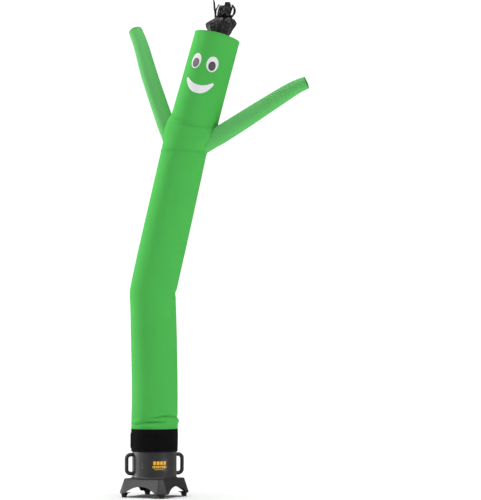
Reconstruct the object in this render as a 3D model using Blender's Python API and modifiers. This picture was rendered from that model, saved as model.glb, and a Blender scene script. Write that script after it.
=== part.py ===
"""Inflatable air dancer standing on its blower.

Metres, +Z up.  The viewer of the photograph stands at -Y and looks along +Y.  An azimuth is the angle
round an upright axis, 0 towards the viewer and positive to the viewer's right.  Everything is modelled
about the blower's axis, and the last step moves the whole object so that its footprint is centred on
the origin.
"""
import math
from collections import namedtuple

import bmesh
import bpy
from mathutils import Matrix, Vector

# Common sizes
GAP = 0.0003
CLOTH = 0.0015
SIDES = 24
HALF_FACET = math.radians(7.5)

# Blower
TURN = math.radians(16.0)
BARREL_RADIUS = 0.158
BARREL_WALL = 0.0055
BARREL_TOP = 0.405
DECK_TOP = 0.131
FLARE_RADIUS = 0.169
FLARE_HEIGHT = 0.020
# Bend half-way down the flare: how far it stands out of the barrel, and its height over the deck
FLARE_BEND = Vector((0.0040, 0.008))
RIDGE_RADIUS = 0.162
RIDGE_HEIGHTS = (0.375, 0.328)
RIDGE_HALF = 0.005
STRIP_BOTTOM = 0.336
STRIP_TOP = 0.367
STRIP_THICK = 0.002

BASE_WALL = 0.005
DECK_SIDE = 0.331
DECK_CHAMFER = 0.026
SKIRT_SIDE = 0.398
SKIRT_CHAMFER = 0.050
SKIRT_BOTTOM = 0.028
ARCH_CHORD = 0.256
ARCH_APEX = 0.078
ARCH_FACETS = 40
INTAKE_RADIUS = 0.165
CORNER_INSET = 2 - math.sqrt(2)
BASE_EDGE = 0.006
BASE_EDGE_ANGLE = math.radians(50)
CUTTER_REACH = 0.030

FOOT_OFFSET = 0.218
FOOT_SIDES = 16
FootRing = namedtuple("FootRing", "radius height")
FOOT_RINGS = (
    FootRing(0.0265, SKIRT_BOTTOM - GAP),
    FootRing(0.0235, SKIRT_BOTTOM - GAP - 0.005),
    FootRing(0.0200, 0.017),
    FootRing(0.0190, 0.011),
    FootRing(0.0175, 0.0),
)

HANDLE_TUBE = 0.0135
HANDLE_REACH = 0.216
HANDLE_BOTTOM = 0.152
HANDLE_TOP = 0.312
HANDLE_CORNER = 0.029
HANDLE_CORNER_STEPS = 4
HANDLE_ROOT = BARREL_RADIUS - 0.015

LABEL_WIDTH = 0.139
LABEL_BOTTOM = 0.186
LABEL_TOP = 0.271
PATCH = 0.001

SCREW_RADIUS = 0.004
SCREW_FACE = 0.0032
SCREW_HEAD = 0.002
SCREW_SIDES = 10
SCREW_HEIGHTS = (0.232, 0.212)

# Cuff, which grips the barrel's lower ridge and holds the hem of the body tube
CUFF_WALL = 0.0022
CUFF_RADIUS = 0.1670
CUFF_BOTTOM = 0.321
CUFF_TOP = 0.481
CUFF_GRIP = RIDGE_RADIUS + GAP + CUFF_WALL
# Rings of the cuff; lap is how far the end of its closing strap stands out on the left
CuffRing = namedtuple("CuffRing", "height radius lap")
CUFF_RINGS = (
    CuffRing(CUFF_BOTTOM, CUFF_GRIP, 0.0),
    CuffRing(CUFF_BOTTOM + 0.006, CUFF_GRIP + 0.0005, 0.0),
    CuffRing(CUFF_BOTTOM + 0.016, CUFF_RADIUS - 0.001, 0.003),
    CuffRing(CUFF_BOTTOM + 0.030, CUFF_RADIUS, 0.004),
    CuffRing(CUFF_BOTTOM + 0.090, CUFF_RADIUS, 0.004),
    CuffRing(CUFF_TOP, CUFF_RADIUS, 0.0),
)
LAP_SHARPNESS = 6

# Trunk of the dancer, from its hem in the cuff to the top of the head.  lean and tip turn a section
# about the depth and the side axis: lean to the viewer's right, tip with the front edge down.
Section = namedtuple("Section", "height side radius lean tip")
WAIST = Section(2.469, 0.2055, 0.1650, 4.0, 4.0)
NECK = Section(2.705, 0.2840, 0.1720, 15.1, 21.0)
CROWN = Section(3.308, 0.4457, 0.1655, 14.1, 0.0)
HEM_RADIUS = CUFF_RADIUS - CUFF_WALL - GAP
BODY = (
    Section(0.466, 0.000, HEM_RADIUS, 0.0, 0.0),
    Section(0.481, 0.000, HEM_RADIUS, 0.0, 0.0),
    Section(0.495, 0.000, 0.1660, 0.0, 0.0),
    Section(0.690, 0.001, 0.1640, 0.0, 0.0),
    Section(1.038, -0.004, 0.1640, 0.5, 0.0),
    Section(1.296, -0.011, 0.1640, 0.5, 0.0),
    Section(1.425, -0.015, 0.1650, 1.0, 0.0),
    Section(1.470, -0.012, 0.1660, 5.0, 0.0),
    Section(1.545, 0.002, 0.1660, 10.5, 0.0),
    Section(1.988, 0.099, 0.1655, 12.0, 0.0),
    WAIST,
)
# Heights of the tube's rings: close at the folds above the cuff and at the bend, wide elsewhere
BODY_RINGS = (
    0.466, 0.481, 0.493, 0.505, 0.517, 0.529, 0.541, 0.553, 0.565, 0.577, 0.593, 0.618, 0.690, 0.870,
    1.050, 1.230, 1.375, 1.425, 1.455, 1.485, 1.520, 1.585, 1.680, 1.790, 1.900, 2.010, 2.120, 2.220,
    2.310, 2.395, 2.469,
)
TORSO = (
    WAIST,
    Section(2.523, 0.2220, 0.1680, 7.0, 8.0),
    Section(2.604, 0.2490, 0.1700, 11.0, 14.0),
    NECK,
)
TORSO_RINGS = (2.469, 2.497, 2.525, 2.553, 2.581, 2.609, 2.637, 2.670, 2.705)
HEAD = (
    NECK,
    Section(2.788, 0.3060, 0.1710, 15.5, 14.0),
    Section(2.900, 0.3360, 0.1695, 15.5, 5.0),
    Section(3.104, 0.3910, 0.1675, 15.5, 0.0),
    CROWN,
)
HEAD_RINGS = (2.705, 2.730, 2.760, 2.795, 2.850, 2.950, 3.060, 3.180, 3.308)

# Folds in the body tube: azimuth of the middle, half width round the tube, height at the middle,
# rise over the half width, depth (negative is a bulge) and half height
Fold = namedtuple("Fold", "azimuth reach height rise depth spread")
BODY_FOLDS = (
    Fold(-28.0, 64.0, 0.528, 0.018, 0.010, 0.013),
    Fold(58.0, 58.0, 0.570, 0.001, 0.011, 0.011),
    Fold(88.0, 45.0, 0.538, 0.000, -0.009, 0.018),
    Fold(175.0, 50.0, 0.548, -0.010, 0.009, 0.013),
    Fold(-130.0, 35.0, 0.574, 0.008, 0.006, 0.012),
    Fold(-90.0, 50.0, 0.508, 0.000, -0.006, 0.010),
    Fold(95.0, 55.0, 1.463, 0.000, 0.007, 0.022),
)
# How blunt a fold's ends are: 1 dies away evenly, less keeps its depth further out
FOLD_ENDS = 0.7

# The dancer is turned a little to the viewer's left, so one arm sits behind and the other in front
DANCER_TURN = -15.0
SHOULDER_BULGE = 0.024
SHOULDER_HEIGHT = 2.620
SHOULDER_SPREAD = 0.085
SHOULDER_SHARPNESS = 4

# Arms: the sleeve's centre line and radius, from inside the torso to the open hand
Sleeve = namedtuple("Sleeve", "x y z radius")
ARM_SIDES = 14
ARM_LEFT = (
    Sleeve(0.156, 0.010, 2.464, 0.0640),
    Sleeve(0.117, 0.026, 2.561, 0.0640),
    Sleeve(0.082, 0.046, 2.652, 0.0640),
    Sleeve(0.043, 0.078, 2.763, 0.0633),
    Sleeve(-0.054, 0.150, 3.056, 0.0612),
    Sleeve(-0.119, 0.228, 3.281, 0.0555),
    Sleeve(-0.165, 0.285, 3.408, 0.0512),
)
ARM_RIGHT = (
    Sleeve(0.287, -0.020, 2.487, 0.0660),
    Sleeve(0.347, -0.034, 2.519, 0.0660),
    Sleeve(0.409, -0.048, 2.554, 0.0660),
    Sleeve(0.475, -0.064, 2.589, 0.0660),
    Sleeve(0.658, -0.107, 2.700, 0.0638),
    Sleeve(0.838, -0.150, 2.810, 0.0587),
    Sleeve(0.996, -0.190, 2.903, 0.0506),
    Sleeve(1.085, -0.212, 2.940, 0.0436),
)
ARM_RINGS = 11
# Share of a sleeve's length over which it cuts its hole in the torso, and the lip left round the hole
ARM_LEFT_HOLE = 0.45
ARM_RIGHT_HOLE = 0.42
ARM_HOLE_RINGS = 5
SEAM_LIP = 0.002

# Head's top panel and the hair on it
HOLE_RADIUS = 0.080
DOME_RISE = 0.014
DOME_SEAT = CLOTH + GAP + 0.0002
DOME_STEPS = 3
COLLAR_ROOM = 0.0006
COLLAR_RADIUS = HOLE_RADIUS * math.cos(HALF_FACET) - COLLAR_ROOM
HAIR_SETTLE = 0.050
PLEATS = 8
PLEAT_TWIST = 0.35
PLEAT_FRONT = 0.75
PLEAT_SIDE = 0.50
PLEAT_SHARPNESS = 4
WIDEST_RUFFLE = 4
Ruffle = namedtuple("Ruffle", "height radius pleat")
COLLAR = (
    Ruffle(0.006, COLLAR_RADIUS, 0.000),
    Ruffle(0.022, COLLAR_RADIUS, 0.000),
    Ruffle(0.045, 0.085, 0.004),
    Ruffle(0.078, 0.093, 0.009),
    Ruffle(0.101, 0.090, 0.015),
    Ruffle(0.122, 0.072, 0.011),
    Ruffle(0.137, 0.057, 0.004),
)
COLLAR_SIDES = 32
KNOT_BOTTOM = 0.1375
KNOT_TOP = 0.158
KNOT_RADIUS = 0.060
KNOT_SIDES = 20
KNOT_LOBES = 5
KNOT_CRUMPLE = 0.10
Layer = namedtuple("Layer", "rise width")
KNOT_LAYERS = (Layer(0.0, 0.90), Layer(0.35, 1.0), Layer(0.75, 0.92), Layer(1.0, 0.70))
# Streamers, in the hair's own frame: side and depth at the root, side, depth and height at the tip,
# width, turn about the hair's axis, and how far the middle bows out sideways
Streamer = namedtuple("Streamer", "side depth tip_side tip_depth tip_height width turn bow")
STREAMERS = (
    Streamer(-0.046, -0.010, -0.096, -0.018, 0.268, 0.012, 10.0, 0.010),
    Streamer(-0.044, 0.014, -0.049, 0.022, 0.250, 0.014, -25.0, -0.010),
    Streamer(-0.018, -0.018, -0.024, -0.024, 0.228, 0.046, 8.0, 0.000),
    Streamer(0.022, -0.006, 0.016, -0.006, 0.254, 0.050, -10.0, 0.004),
    Streamer(0.046, 0.012, 0.059, 0.016, 0.236, 0.012, 20.0, 0.004),
    Streamer(0.046, -0.018, 0.056, -0.026, 0.204, 0.016, 60.0, 0.038),
    Streamer(0.000, 0.022, -0.006, 0.034, 0.240, 0.040, 14.0, 0.008),
    Streamer(-0.024, 0.034, -0.034, 0.062, 0.216, 0.026, 35.0, 0.006),
    Streamer(0.024, 0.036, 0.030, 0.066, 0.226, 0.024, -30.0, -0.006),
    Streamer(0.004, -0.040, 0.008, -0.062, 0.204, 0.030, -6.0, 0.004),
)
STREAMER_STEPS = 4
STREAMER_HALF_THICK = 0.0012
STREAMER_ROOT = KNOT_BOTTOM + 0.008
STREAMER_NARROW = 0.72

# Face, in lengths down from the crown and azimuths on the head
EYE_DROP = 0.229
EYE_AZIMUTHS = (-33.0, 9.7)
EYE_WIDTHS = (0.078, 0.086)
EYE_HEIGHT = 0.111
PUPIL_WIDTH = 0.051
PUPIL_HEIGHT = 0.066
PUPIL_DROP = EYE_DROP + 0.014
EYE_POINTS = 20
PUPIL_POINTS = 16
SMILE_AZIMUTH = -10.6
SMILE_HALF = 0.108
SMILE_TIP_DROP = 0.353
SMILE_LOW_DROP = 0.432
SMILE_LIP_DROP = 0.385
SMILE_TIP = 0.010
SMILE_STEPS = 8
FACE_BELOW = HEAD_RINGS[4]
STAMP_START = 0.060
STAMP_LENGTH = 0.200

COLOURS = {
    "cloth": ((0.095, 0.480, 0.105, 1.0), 0.55),
    "cuff": ((0.006, 0.006, 0.007, 1.0), 0.90),
    "hair": ((0.030, 0.030, 0.033, 1.0), 0.45),
    "patch": ((0.780, 0.780, 0.830, 1.0), 0.60),
    "pupil": ((0.050, 0.045, 0.055, 1.0), 0.60),
    "plastic": ((0.040, 0.040, 0.042, 1.0), 0.50),
    "rubber": ((0.012, 0.012, 0.012, 1.0), 0.80),
    "strip": ((0.020, 0.021, 0.023, 1.0), 0.85),
    "label": ((0.012, 0.010, 0.010, 1.0), 0.35),
    "steel": ((0.180, 0.180, 0.180, 1.0), 0.35),
}


# Scene and materials

def clear_scene():
    """Remove every object, so that the file can be run again."""
    for old in list(bpy.data.objects):
        bpy.data.objects.remove(old, do_unlink=True)


def new_collection(name):
    """An empty collection linked to the scene."""
    group = bpy.data.collections.new(name)
    bpy.context.scene.collection.children.link(group)
    return group


def paint(piece, finish):
    """Give a piece its own Principled material."""
    colour, roughness = COLOURS[finish]
    material = bpy.data.materials.new(f"{piece.name}_{finish}")
    material.use_nodes = True
    shader = material.node_tree.nodes["Principled BSDF"]
    shader.inputs["Base Color"].default_value = colour
    shader.inputs["Roughness"].default_value = roughness
    shader.inputs["Metallic"].default_value = 1.0 if finish == "steel" else 0.0
    piece.data.materials.append(material)


def add_object(name, mesh, group, finish=None):
    """Link a mesh as a named object; one without a finish is a cutter or a guide."""
    piece = bpy.data.objects.new(name, mesh)
    group.objects.link(piece)
    if finish:
        paint(piece, finish)
    else:
        piece.hide_render = True
        piece.display_type = "WIRE"
    return piece


def mesh_from(shape, name, smooth=True):
    """Turn a bmesh into a mesh, shaded smooth except at sharp corners."""
    mesh = bpy.data.meshes.new(name)
    shape.to_mesh(mesh)
    shape.free()
    if smooth:
        mesh.shade_smooth()
        mesh.set_sharp_from_angle(angle=math.radians(40))
    return mesh


# Modifiers

def add_wall(piece, thickness, offset=-1.0):
    """Give an open surface its thickness; -1 is inwards."""
    wall = piece.modifiers.new("wall", "SOLIDIFY")
    wall.thickness = thickness
    wall.offset = offset
    wall.use_even_offset = True


def combine(piece, other, operation):
    """Cut, join or intersect a piece with another object."""
    step = piece.modifiers.new(f"{operation.lower()}_{other.name}", "BOOLEAN")
    step.object = other
    step.operation = operation


# Shapes

def around(radius, azimuth, height):
    """The point at a radius and an azimuth (radians) about the blower's axis."""
    return Vector((radius * math.sin(azimuth), -radius * math.cos(azimuth), height))


def blend(table, height, field):
    """Read one field of a table at a height, on a smooth curve through its rows."""
    last = len(table) - 2
    index = next((i for i in range(last + 1) if height <= table[i + 1].height), last)
    here, there = table[index], table[index + 1]
    before = table[max(index - 1, 0)]
    after = table[min(index + 2, len(table) - 1)]
    span = there.height - here.height
    slope_in = slope_between(before, here, there, field)
    slope_out = slope_between(here, there, after, field)
    t = (height - here.height) / span
    start, end = getattr(here, field), getattr(there, field)
    return (
        start * (2 * t**3 - 3 * t**2 + 1)
        + end * (3 * t**2 - 2 * t**3)
        + span * slope_in * (t**3 - 2 * t**2 + t)
        + span * slope_out * (t**3 - t**2)
    )


def slope_between(before, middle, after, field):
    """Slope of a smooth curve at the middle row, flat where the rows turn back."""
    sides = []
    for low, high in ((before, middle), (middle, after)):
        if high.height > low.height:
            sides.append((getattr(high, field) - getattr(low, field)) / (high.height - low.height))
    if len(sides) == 2 and sides[0] * sides[1] <= 0:
        return 0.0
    return sum(sides) / len(sides)


def section_frame(table, height):
    """Centre of a section, and the unit vectors to its side, its back and up along the tube."""
    centre = Vector((blend(table, height, "side"), 0.0, height))
    turned = (
        Matrix.Rotation(math.radians(blend(table, height, "lean")), 3, "Y")
        @ Matrix.Rotation(math.radians(blend(table, height, "tip")), 3, "X")
    )
    return centre, turned @ Vector((1, 0, 0)), turned @ Vector((0, 1, 0)), turned @ Vector((0, 0, 1))


def on_section(table, height, azimuth, proud=0.0, lift=0.0):
    """The point of a trunk section at an azimuth, standing proud of its own radius."""
    centre, side, back, up = section_frame(table, height)
    radius = blend(table, height, "radius") + proud
    return centre + side * radius * math.sin(azimuth) - back * radius * math.cos(azimuth) + up * lift


def split_faces(shape):
    """Split each face of an upright tube along the same diagonal.

    Two tubes that lie on each other are then split alike, and keep their gap on a curved stretch too.
    """
    for face in [face for face in shape.faces if abs(face.normal.z) < 0.5]:
        middle = face.calc_center_median()
        corners = {}
        for point in face.verts:
            corners[(middle.cross(point.co).z > 0, point.co.z > middle.z)] = point
        bmesh.utils.face_split(face, corners[(False, False)], corners[(True, True)])


def ring_tube(sides, rings, place, capped=False):
    """A round primitive cut into rings, with each point moved to place(ring, azimuth)."""
    shape = bmesh.new()
    bmesh.ops.create_cone(
        shape, cap_ends=capped, segments=sides, radius1=1.0, radius2=1.0, depth=rings
    )
    bmesh.ops.translate(shape, verts=shape.verts, vec=(0, 0, rings / 2))
    for cut in range(1, rings):
        whole = shape.verts[:] + shape.edges[:] + shape.faces[:]
        bmesh.ops.bisect_plane(shape, geom=whole, plane_co=(0, 0, cut), plane_no=(0, 0, 1))
    split_faces(shape)
    shape.verts.ensure_lookup_table()
    first = math.atan2(shape.verts[0].co.y, shape.verts[0].co.x)
    for point in shape.verts:
        angle = math.atan2(point.co.y, point.co.x) - first
        point.co = place(round(point.co.z), angle + math.pi / sides + math.pi / 2)
    return shape


def turned_solid(name, profile, group, finish=None, sides=SIDES):
    """A closed profile of (radius, height) points, outer side downwards, turned about Z."""
    outline = bmesh.new()
    points = [outline.verts.new((radius, 0.0, height)) for radius, height in profile]
    for here, there in zip(points, points[1:] + points[:1]):
        outline.edges.new((here, there))
    piece = add_object(name, mesh_from(outline, name, smooth=False), group, finish)
    screw = piece.modifiers.new("turn", "SCREW")
    screw.steps = screw.render_steps = sides
    screw.use_merge_vertices = True
    screw.merge_threshold = 0.00001
    screw.use_smooth_shade = True
    piece.rotation_euler.z = HALF_FACET
    return piece


def box_mesh(name, size, centre, turn=0.0):
    """A box mesh, turned about the blower's axis."""
    shape = bmesh.new()
    bmesh.ops.create_cube(shape, size=1.0)
    bmesh.ops.scale(shape, verts=shape.verts, vec=size)
    bmesh.ops.translate(shape, verts=shape.verts, vec=centre)
    bmesh.ops.rotate(shape, verts=shape.verts, cent=(0, 0, 0), matrix=Matrix.Rotation(turn, 3, "Z"))
    return mesh_from(shape, name, smooth=False)


def drum_mesh(name, radius, bottom, top, sides=SIDES):
    """A closed upright cylinder on the blower's axis, its facets in line with the barrel's."""
    shape = bmesh.new()
    bmesh.ops.create_cone(
        shape, cap_ends=True, segments=sides, radius1=radius, radius2=radius, depth=top - bottom
    )
    bmesh.ops.translate(shape, verts=shape.verts, vec=(0, 0, (bottom + top) / 2))
    half = Matrix.Rotation(math.pi / sides, 3, "Z")
    bmesh.ops.rotate(shape, verts=shape.verts, cent=(0, 0, 0), matrix=half)
    return mesh_from(shape, name, smooth=False)


# Blower

def make_barrel(parts):
    """The duct: rim, two round ridges, a plain wall and a flare that stands on the deck."""
    inner = BARREL_RADIUS - BARREL_WALL
    profile = [(inner, BARREL_TOP), (BARREL_RADIUS, BARREL_TOP)]
    for height in RIDGE_HEIGHTS:
        profile.append((BARREL_RADIUS, height + RIDGE_HALF))
        profile.append((RIDGE_RADIUS, height + RIDGE_HALF / 2))
        profile.append((RIDGE_RADIUS, height - RIDGE_HALF / 2))
        profile.append((BARREL_RADIUS, height - RIDGE_HALF))
    foot = DECK_TOP + GAP
    profile.append((BARREL_RADIUS, foot + FLARE_HEIGHT))
    profile.append((BARREL_RADIUS + FLARE_BEND.x, foot + FLARE_BEND.y))
    profile.append((FLARE_RADIUS, foot))
    profile.append((inner, foot))
    return turned_solid("barrel", profile, parts, "plastic")


def make_loop_strip(parts):
    """The fastening band that lies on the barrel between its ridges."""
    inner = BARREL_RADIUS + GAP
    outer = inner + STRIP_THICK
    profile = [(inner, STRIP_TOP), (outer, STRIP_TOP), (outer, STRIP_BOTTOM), (inner, STRIP_BOTTOM)]
    turned_solid("loop_strip", profile, parts, "strip")


def chamfered_square(shape, side, chamfer, height):
    """The eight points of a square with cut corners, at one height."""
    half = side / 2
    short = half - chamfer
    corners = (
        (half, -short), (half, short), (short, half), (-short, half),
        (-half, short), (-half, -short), (-short, -half), (short, -half),
    )
    return [shape.verts.new((x, y, height)) for x, y in corners]


def skirt_solid(name, group, finish, inset, bottom, top):
    """A loft between the deck's outline and the wider outline at the skirt's edge."""
    shape = bmesh.new()
    levels = []
    for height in (bottom, top):
        share = (height - SKIRT_BOTTOM) / (DECK_TOP - SKIRT_BOTTOM)
        side = SKIRT_SIDE + (DECK_SIDE - SKIRT_SIDE) * share - 2 * inset
        chamfer = SKIRT_CHAMFER + (DECK_CHAMFER - SKIRT_CHAMFER) * share - CORNER_INSET * inset
        levels.append(chamfered_square(shape, side, chamfer, height))
    low, high = levels
    shape.faces.new(list(reversed(low)))
    shape.faces.new(high)
    for i in range(8):
        j = (i + 1) % 8
        shape.faces.new((low[i], low[j], high[j], high[i]))
    piece = add_object(name, mesh_from(shape, name, smooth=False), group, finish)
    piece.rotation_euler.z = TURN - math.pi / 4
    return piece


def arch_cutter(cutters, name, turn):
    """A round bar through two opposite skirts, which leaves an arch in each."""
    half = ARCH_CHORD / 2
    sagitta = ARCH_APEX - SKIRT_BOTTOM
    radius = (half**2 + sagitta**2) / (2 * sagitta)
    shape = bmesh.new()
    bmesh.ops.create_cone(
        shape, cap_ends=True, segments=ARCH_FACETS, radius1=radius, radius2=radius, depth=2 * SKIRT_SIDE
    )
    lay = Matrix.Rotation(turn, 3, "Z") @ Matrix.Rotation(math.pi / 2, 3, "X")
    bmesh.ops.rotate(shape, verts=shape.verts, cent=(0, 0, 0), matrix=lay)
    bmesh.ops.translate(shape, verts=shape.verts, vec=(0, 0, ARCH_APEX - radius))
    return add_object(name, mesh_from(shape, name, smooth=False), cutters)


def make_base(parts, cutters):
    """The hollow foot part: a deck with the duct's hole, sloping skirts, arches and corner soles."""
    base = skirt_solid("base", parts, "plastic", 0.0, SKIRT_BOTTOM, DECK_TOP)
    edge = base.modifiers.new("edges", "BEVEL")
    edge.width = BASE_EDGE
    edge.segments = 2
    edge.limit_method = "ANGLE"
    edge.angle_limit = BASE_EDGE_ANGLE
    hollow = skirt_solid(
        "base_hollow", cutters, None, BASE_WALL, SKIRT_BOTTOM + BASE_WALL, DECK_TOP - BASE_WALL
    )
    inner = BARREL_RADIUS - BARREL_WALL
    bore_mesh = drum_mesh("base_bore", inner, DECK_TOP - CUTTER_REACH, DECK_TOP + CUTTER_REACH)
    bore = add_object("base_bore", bore_mesh, cutters)
    intake_mesh = drum_mesh(
        "base_intake", INTAKE_RADIUS, SKIRT_BOTTOM - CUTTER_REACH, SKIRT_BOTTOM + CUTTER_REACH
    )
    intake = add_object("base_intake", intake_mesh, cutters)
    across = TURN - math.pi / 4
    arches = [arch_cutter(cutters, f"base_arch_{i}", across + i * math.pi / 2) for i in range(2)]
    for cutter in (hollow, bore, intake, *arches):
        combine(base, cutter, "DIFFERENCE")


def make_feet(parts):
    """Four rubber feet under the corner soles."""
    profile = [(0.0, FOOT_RINGS[0].height), *FOOT_RINGS, (0.0, FOOT_RINGS[-1].height)]
    for number in range(4):
        foot = turned_solid(f"foot_{number + 1}", profile, parts, "rubber", sides=FOOT_SIDES)
        foot.location = around(FOOT_OFFSET, TURN + number * math.pi / 2, 0.0)


def make_handle(name, azimuth, parts, cutters):
    """A round bar bent square, whose ends stand on the barrel's wall."""
    reach = HANDLE_REACH - HANDLE_TUBE
    low, high = HANDLE_BOTTOM + HANDLE_TUBE, HANDLE_TOP - HANDLE_TUBE
    path = [(HANDLE_ROOT, high)]
    for centre_z, start in ((high - HANDLE_CORNER, 90), (low + HANDLE_CORNER, 0)):
        for step in range(HANDLE_CORNER_STEPS + 1):
            angle = math.radians(start - step * 90 / HANDLE_CORNER_STEPS)
            radius = reach - HANDLE_CORNER + HANDLE_CORNER * math.cos(angle)
            path.append((radius, centre_z + HANDLE_CORNER * math.sin(angle)))
    path.append((HANDLE_ROOT, low))
    curve = bpy.data.curves.new(name, "CURVE")
    curve.dimensions = "3D"
    curve.bevel_depth = HANDLE_TUBE
    curve.bevel_resolution = 2
    curve.use_fill_caps = True
    line = curve.splines.new("POLY")
    line.points.add(len(path) - 1)
    for point, (radius, height) in zip(line.points, path):
        point.co = (*around(radius, azimuth, height), 1.0)
    guide = bpy.data.objects.new(f"{name}_line", curve)
    cutters.objects.link(guide)
    ready = guide.evaluated_get(bpy.context.evaluated_depsgraph_get())
    shape = bmesh.new()
    shape.from_mesh(bpy.data.meshes.new_from_object(ready))
    bmesh.ops.remove_doubles(shape, verts=shape.verts, dist=0.00001)
    bmesh.ops.recalc_face_normals(shape, faces=shape.faces)
    bpy.data.objects.remove(guide)
    handle = add_object(name, mesh_from(shape, name), parts, "plastic")
    seat_mesh = drum_mesh(
        f"{name}_seat", BARREL_RADIUS + GAP, HANDLE_BOTTOM - CUTTER_REACH, HANDLE_TOP + CUTTER_REACH
    )
    combine(handle, add_object(f"{name}_seat", seat_mesh, cutters), "DIFFERENCE")


def barrel_patch(name, azimuth, width, bottom, top, parts, cutters, finish):
    """A thin sheet on the barrel's wall, between two azimuths."""
    inner = BARREL_RADIUS + GAP
    profile = [(inner, top), (inner + PATCH, top), (inner + PATCH, bottom), (inner, bottom)]
    sheet = turned_solid(name, profile, parts, finish)
    depth = BARREL_RADIUS
    mesh = box_mesh(
        f"{name}_outline", (width, depth, 2 * (top - bottom)), (0, -depth, (top + bottom) / 2), azimuth
    )
    combine(sheet, add_object(f"{name}_outline", mesh, cutters), "INTERSECT")


def make_screws(parts):
    """Pairs of bolt heads on the barrel, over the middle of each side of the base."""
    seat = BARREL_RADIUS * math.cos(HALF_FACET) + GAP
    number = 0
    for side in range(4):
        azimuth = TURN - math.pi / 4 + side * math.pi / 2
        for height in SCREW_HEIGHTS:
            number += 1
            shape = bmesh.new()
            bmesh.ops.create_cone(
                shape, cap_ends=True, segments=SCREW_SIDES, radius1=SCREW_RADIUS,
                radius2=SCREW_FACE, depth=SCREW_HEAD,
            )
            name = f"screw_{number}"
            screw = add_object(name, mesh_from(shape, name), parts, "steel")
            screw.rotation_euler = (math.pi / 2, 0.0, azimuth)
            screw.location = around(seat + SCREW_HEAD / 2, azimuth, height)


# Cloth

def make_cuff(parts):
    """The black collar: drawn in at its hem to grip the ridge, straight above."""

    def place(ring, azimuth):
        row = CUFF_RINGS[ring]
        to_left = max(0.0, math.cos(azimuth + math.pi / 2)) ** LAP_SHARPNESS
        return around(row.radius + row.lap * to_left, azimuth, row.height)

    shape = ring_tube(SIDES, len(CUFF_RINGS) - 1, place)
    cuff = add_object("cuff", mesh_from(shape, "cuff"), parts, "cuff")
    add_wall(cuff, CUFF_WALL)


def fold_depth(height, azimuth):
    """How far the folds pull the body tube in at a place."""
    depth = 0.0
    for fold in BODY_FOLDS:
        away = math.degrees(azimuth) - fold.azimuth
        away = (away + 180.0) % 360.0 - 180.0
        along = away / fold.reach
        if abs(along) >= 1.0:
            continue
        middle = fold.height + fold.rise * along
        across = (height - middle) / fold.spread
        depth += fold.depth * math.cos(along * math.pi / 2) ** FOLD_ENDS * math.exp(-across * across)
    return depth


def shoulder_bulge(height, azimuth):
    """How far the arms pull the torso out at a place."""
    away = azimuth - math.radians(90.0 + DANCER_TURN)
    across = (height - SHOULDER_HEIGHT) / SHOULDER_SPREAD
    pull = math.cos(away) ** SHOULDER_SHARPNESS
    return SHOULDER_BULGE * pull * max(0.0, 1.0 - across * across)


def make_trunk_piece(name, table, heights, swell, parts, low_gap, high_gap):
    """One sewn tube of the trunk; its end rings stay half a gap short of the seams."""
    last = len(heights) - 1

    def place(ring, azimuth):
        height = heights[ring]
        lift = low_gap if ring == 0 else -high_gap if ring == last else 0.0
        return on_section(table, height, azimuth, swell(height, azimuth), lift)

    shape = ring_tube(SIDES, last, place)
    piece = add_object(name, mesh_from(shape, name), parts, "cloth")
    add_wall(piece, CLOTH)
    return piece


def trunk_plug(name, cutters, proud):
    """A closed solid of the trunk from the waist up, used to trim what stands on it."""
    stack = [(BODY, height, fold_free) for height in BODY_RINGS[-4:-1]]
    stack += [(TORSO, height, shoulder_bulge) for height in TORSO_RINGS[:-1]]
    stack += [(HEAD, height, fold_free) for height in HEAD_RINGS]

    def place(ring, azimuth):
        table, height, swell = stack[ring]
        return on_section(table, height, azimuth, swell(height, azimuth) + proud)

    shape = ring_tube(SIDES, len(stack) - 1, place, capped=True)
    return add_object(name, mesh_from(shape, name, smooth=False), cutters)


def fold_free(height, azimuth):
    """No folds: the plain tube."""
    return 0.0


def sleeve_point(table, share):
    """Centre and radius of a sleeve at a share of its length, on a smooth curve through its rows."""
    place = share * (len(table) - 1)
    index = min(int(place), len(table) - 2)
    t = place - index
    rows = [table[max(index - 1, 0)], table[index], table[index + 1], table[min(index + 2, len(table) - 1)]]
    rows = [Vector(row) for row in rows]
    curve = (
        rows[1] * 2
        + (rows[2] - rows[0]) * t
        + (rows[0] * 2 - rows[1] * 5 + rows[2] * 4 - rows[3]) * t**2
        + (rows[1] * 3 - rows[0] - rows[2] * 3 + rows[3]) * t**3
    ) / 2
    return curve.xyz, curve.w


def sleeve_mesh(name, table, rings, until, thinner, capped):
    """A sleeve's surface, from its start inside the torso to a share of its length."""

    def place(ring, azimuth):
        share = until * ring / rings
        centre, radius = sleeve_point(table, share)
        ahead, _ = sleeve_point(table, min(share + 0.01, 1.0))
        behind, _ = sleeve_point(table, max(share - 0.01, 0.0))
        along = (ahead - behind).normalized()
        back = (Vector((0, 1, 0)) - along * along.y).normalized()
        side = back.cross(along)
        radius -= thinner
        return centre + side * radius * math.sin(azimuth) - back * radius * math.cos(azimuth)

    shape = ring_tube(ARM_SIDES, rings, place, capped)
    return mesh_from(shape, name, smooth=not capped)


def make_arms(parts, cutters, torso):
    """Two sleeves whose roots stand on the torso, and the holes they blow through."""
    plug = trunk_plug("trunk_plug", cutters, GAP)
    arms = (("arm_left", ARM_LEFT, ARM_LEFT_HOLE), ("arm_right", ARM_RIGHT, ARM_RIGHT_HOLE))
    for name, table, reach in arms:
        arm = add_object(name, sleeve_mesh(name, table, ARM_RINGS, 1.0, 0.0, False), parts, "cloth")
        add_wall(arm, CLOTH)
        combine(arm, plug, "DIFFERENCE")
        thinner = CLOTH + SEAM_LIP
        bore_mesh = sleeve_mesh(f"{name}_hole", table, ARM_HOLE_RINGS, reach, thinner, True)
        combine(torso, add_object(f"{name}_hole", bore_mesh, cutters), "DIFFERENCE")


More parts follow.
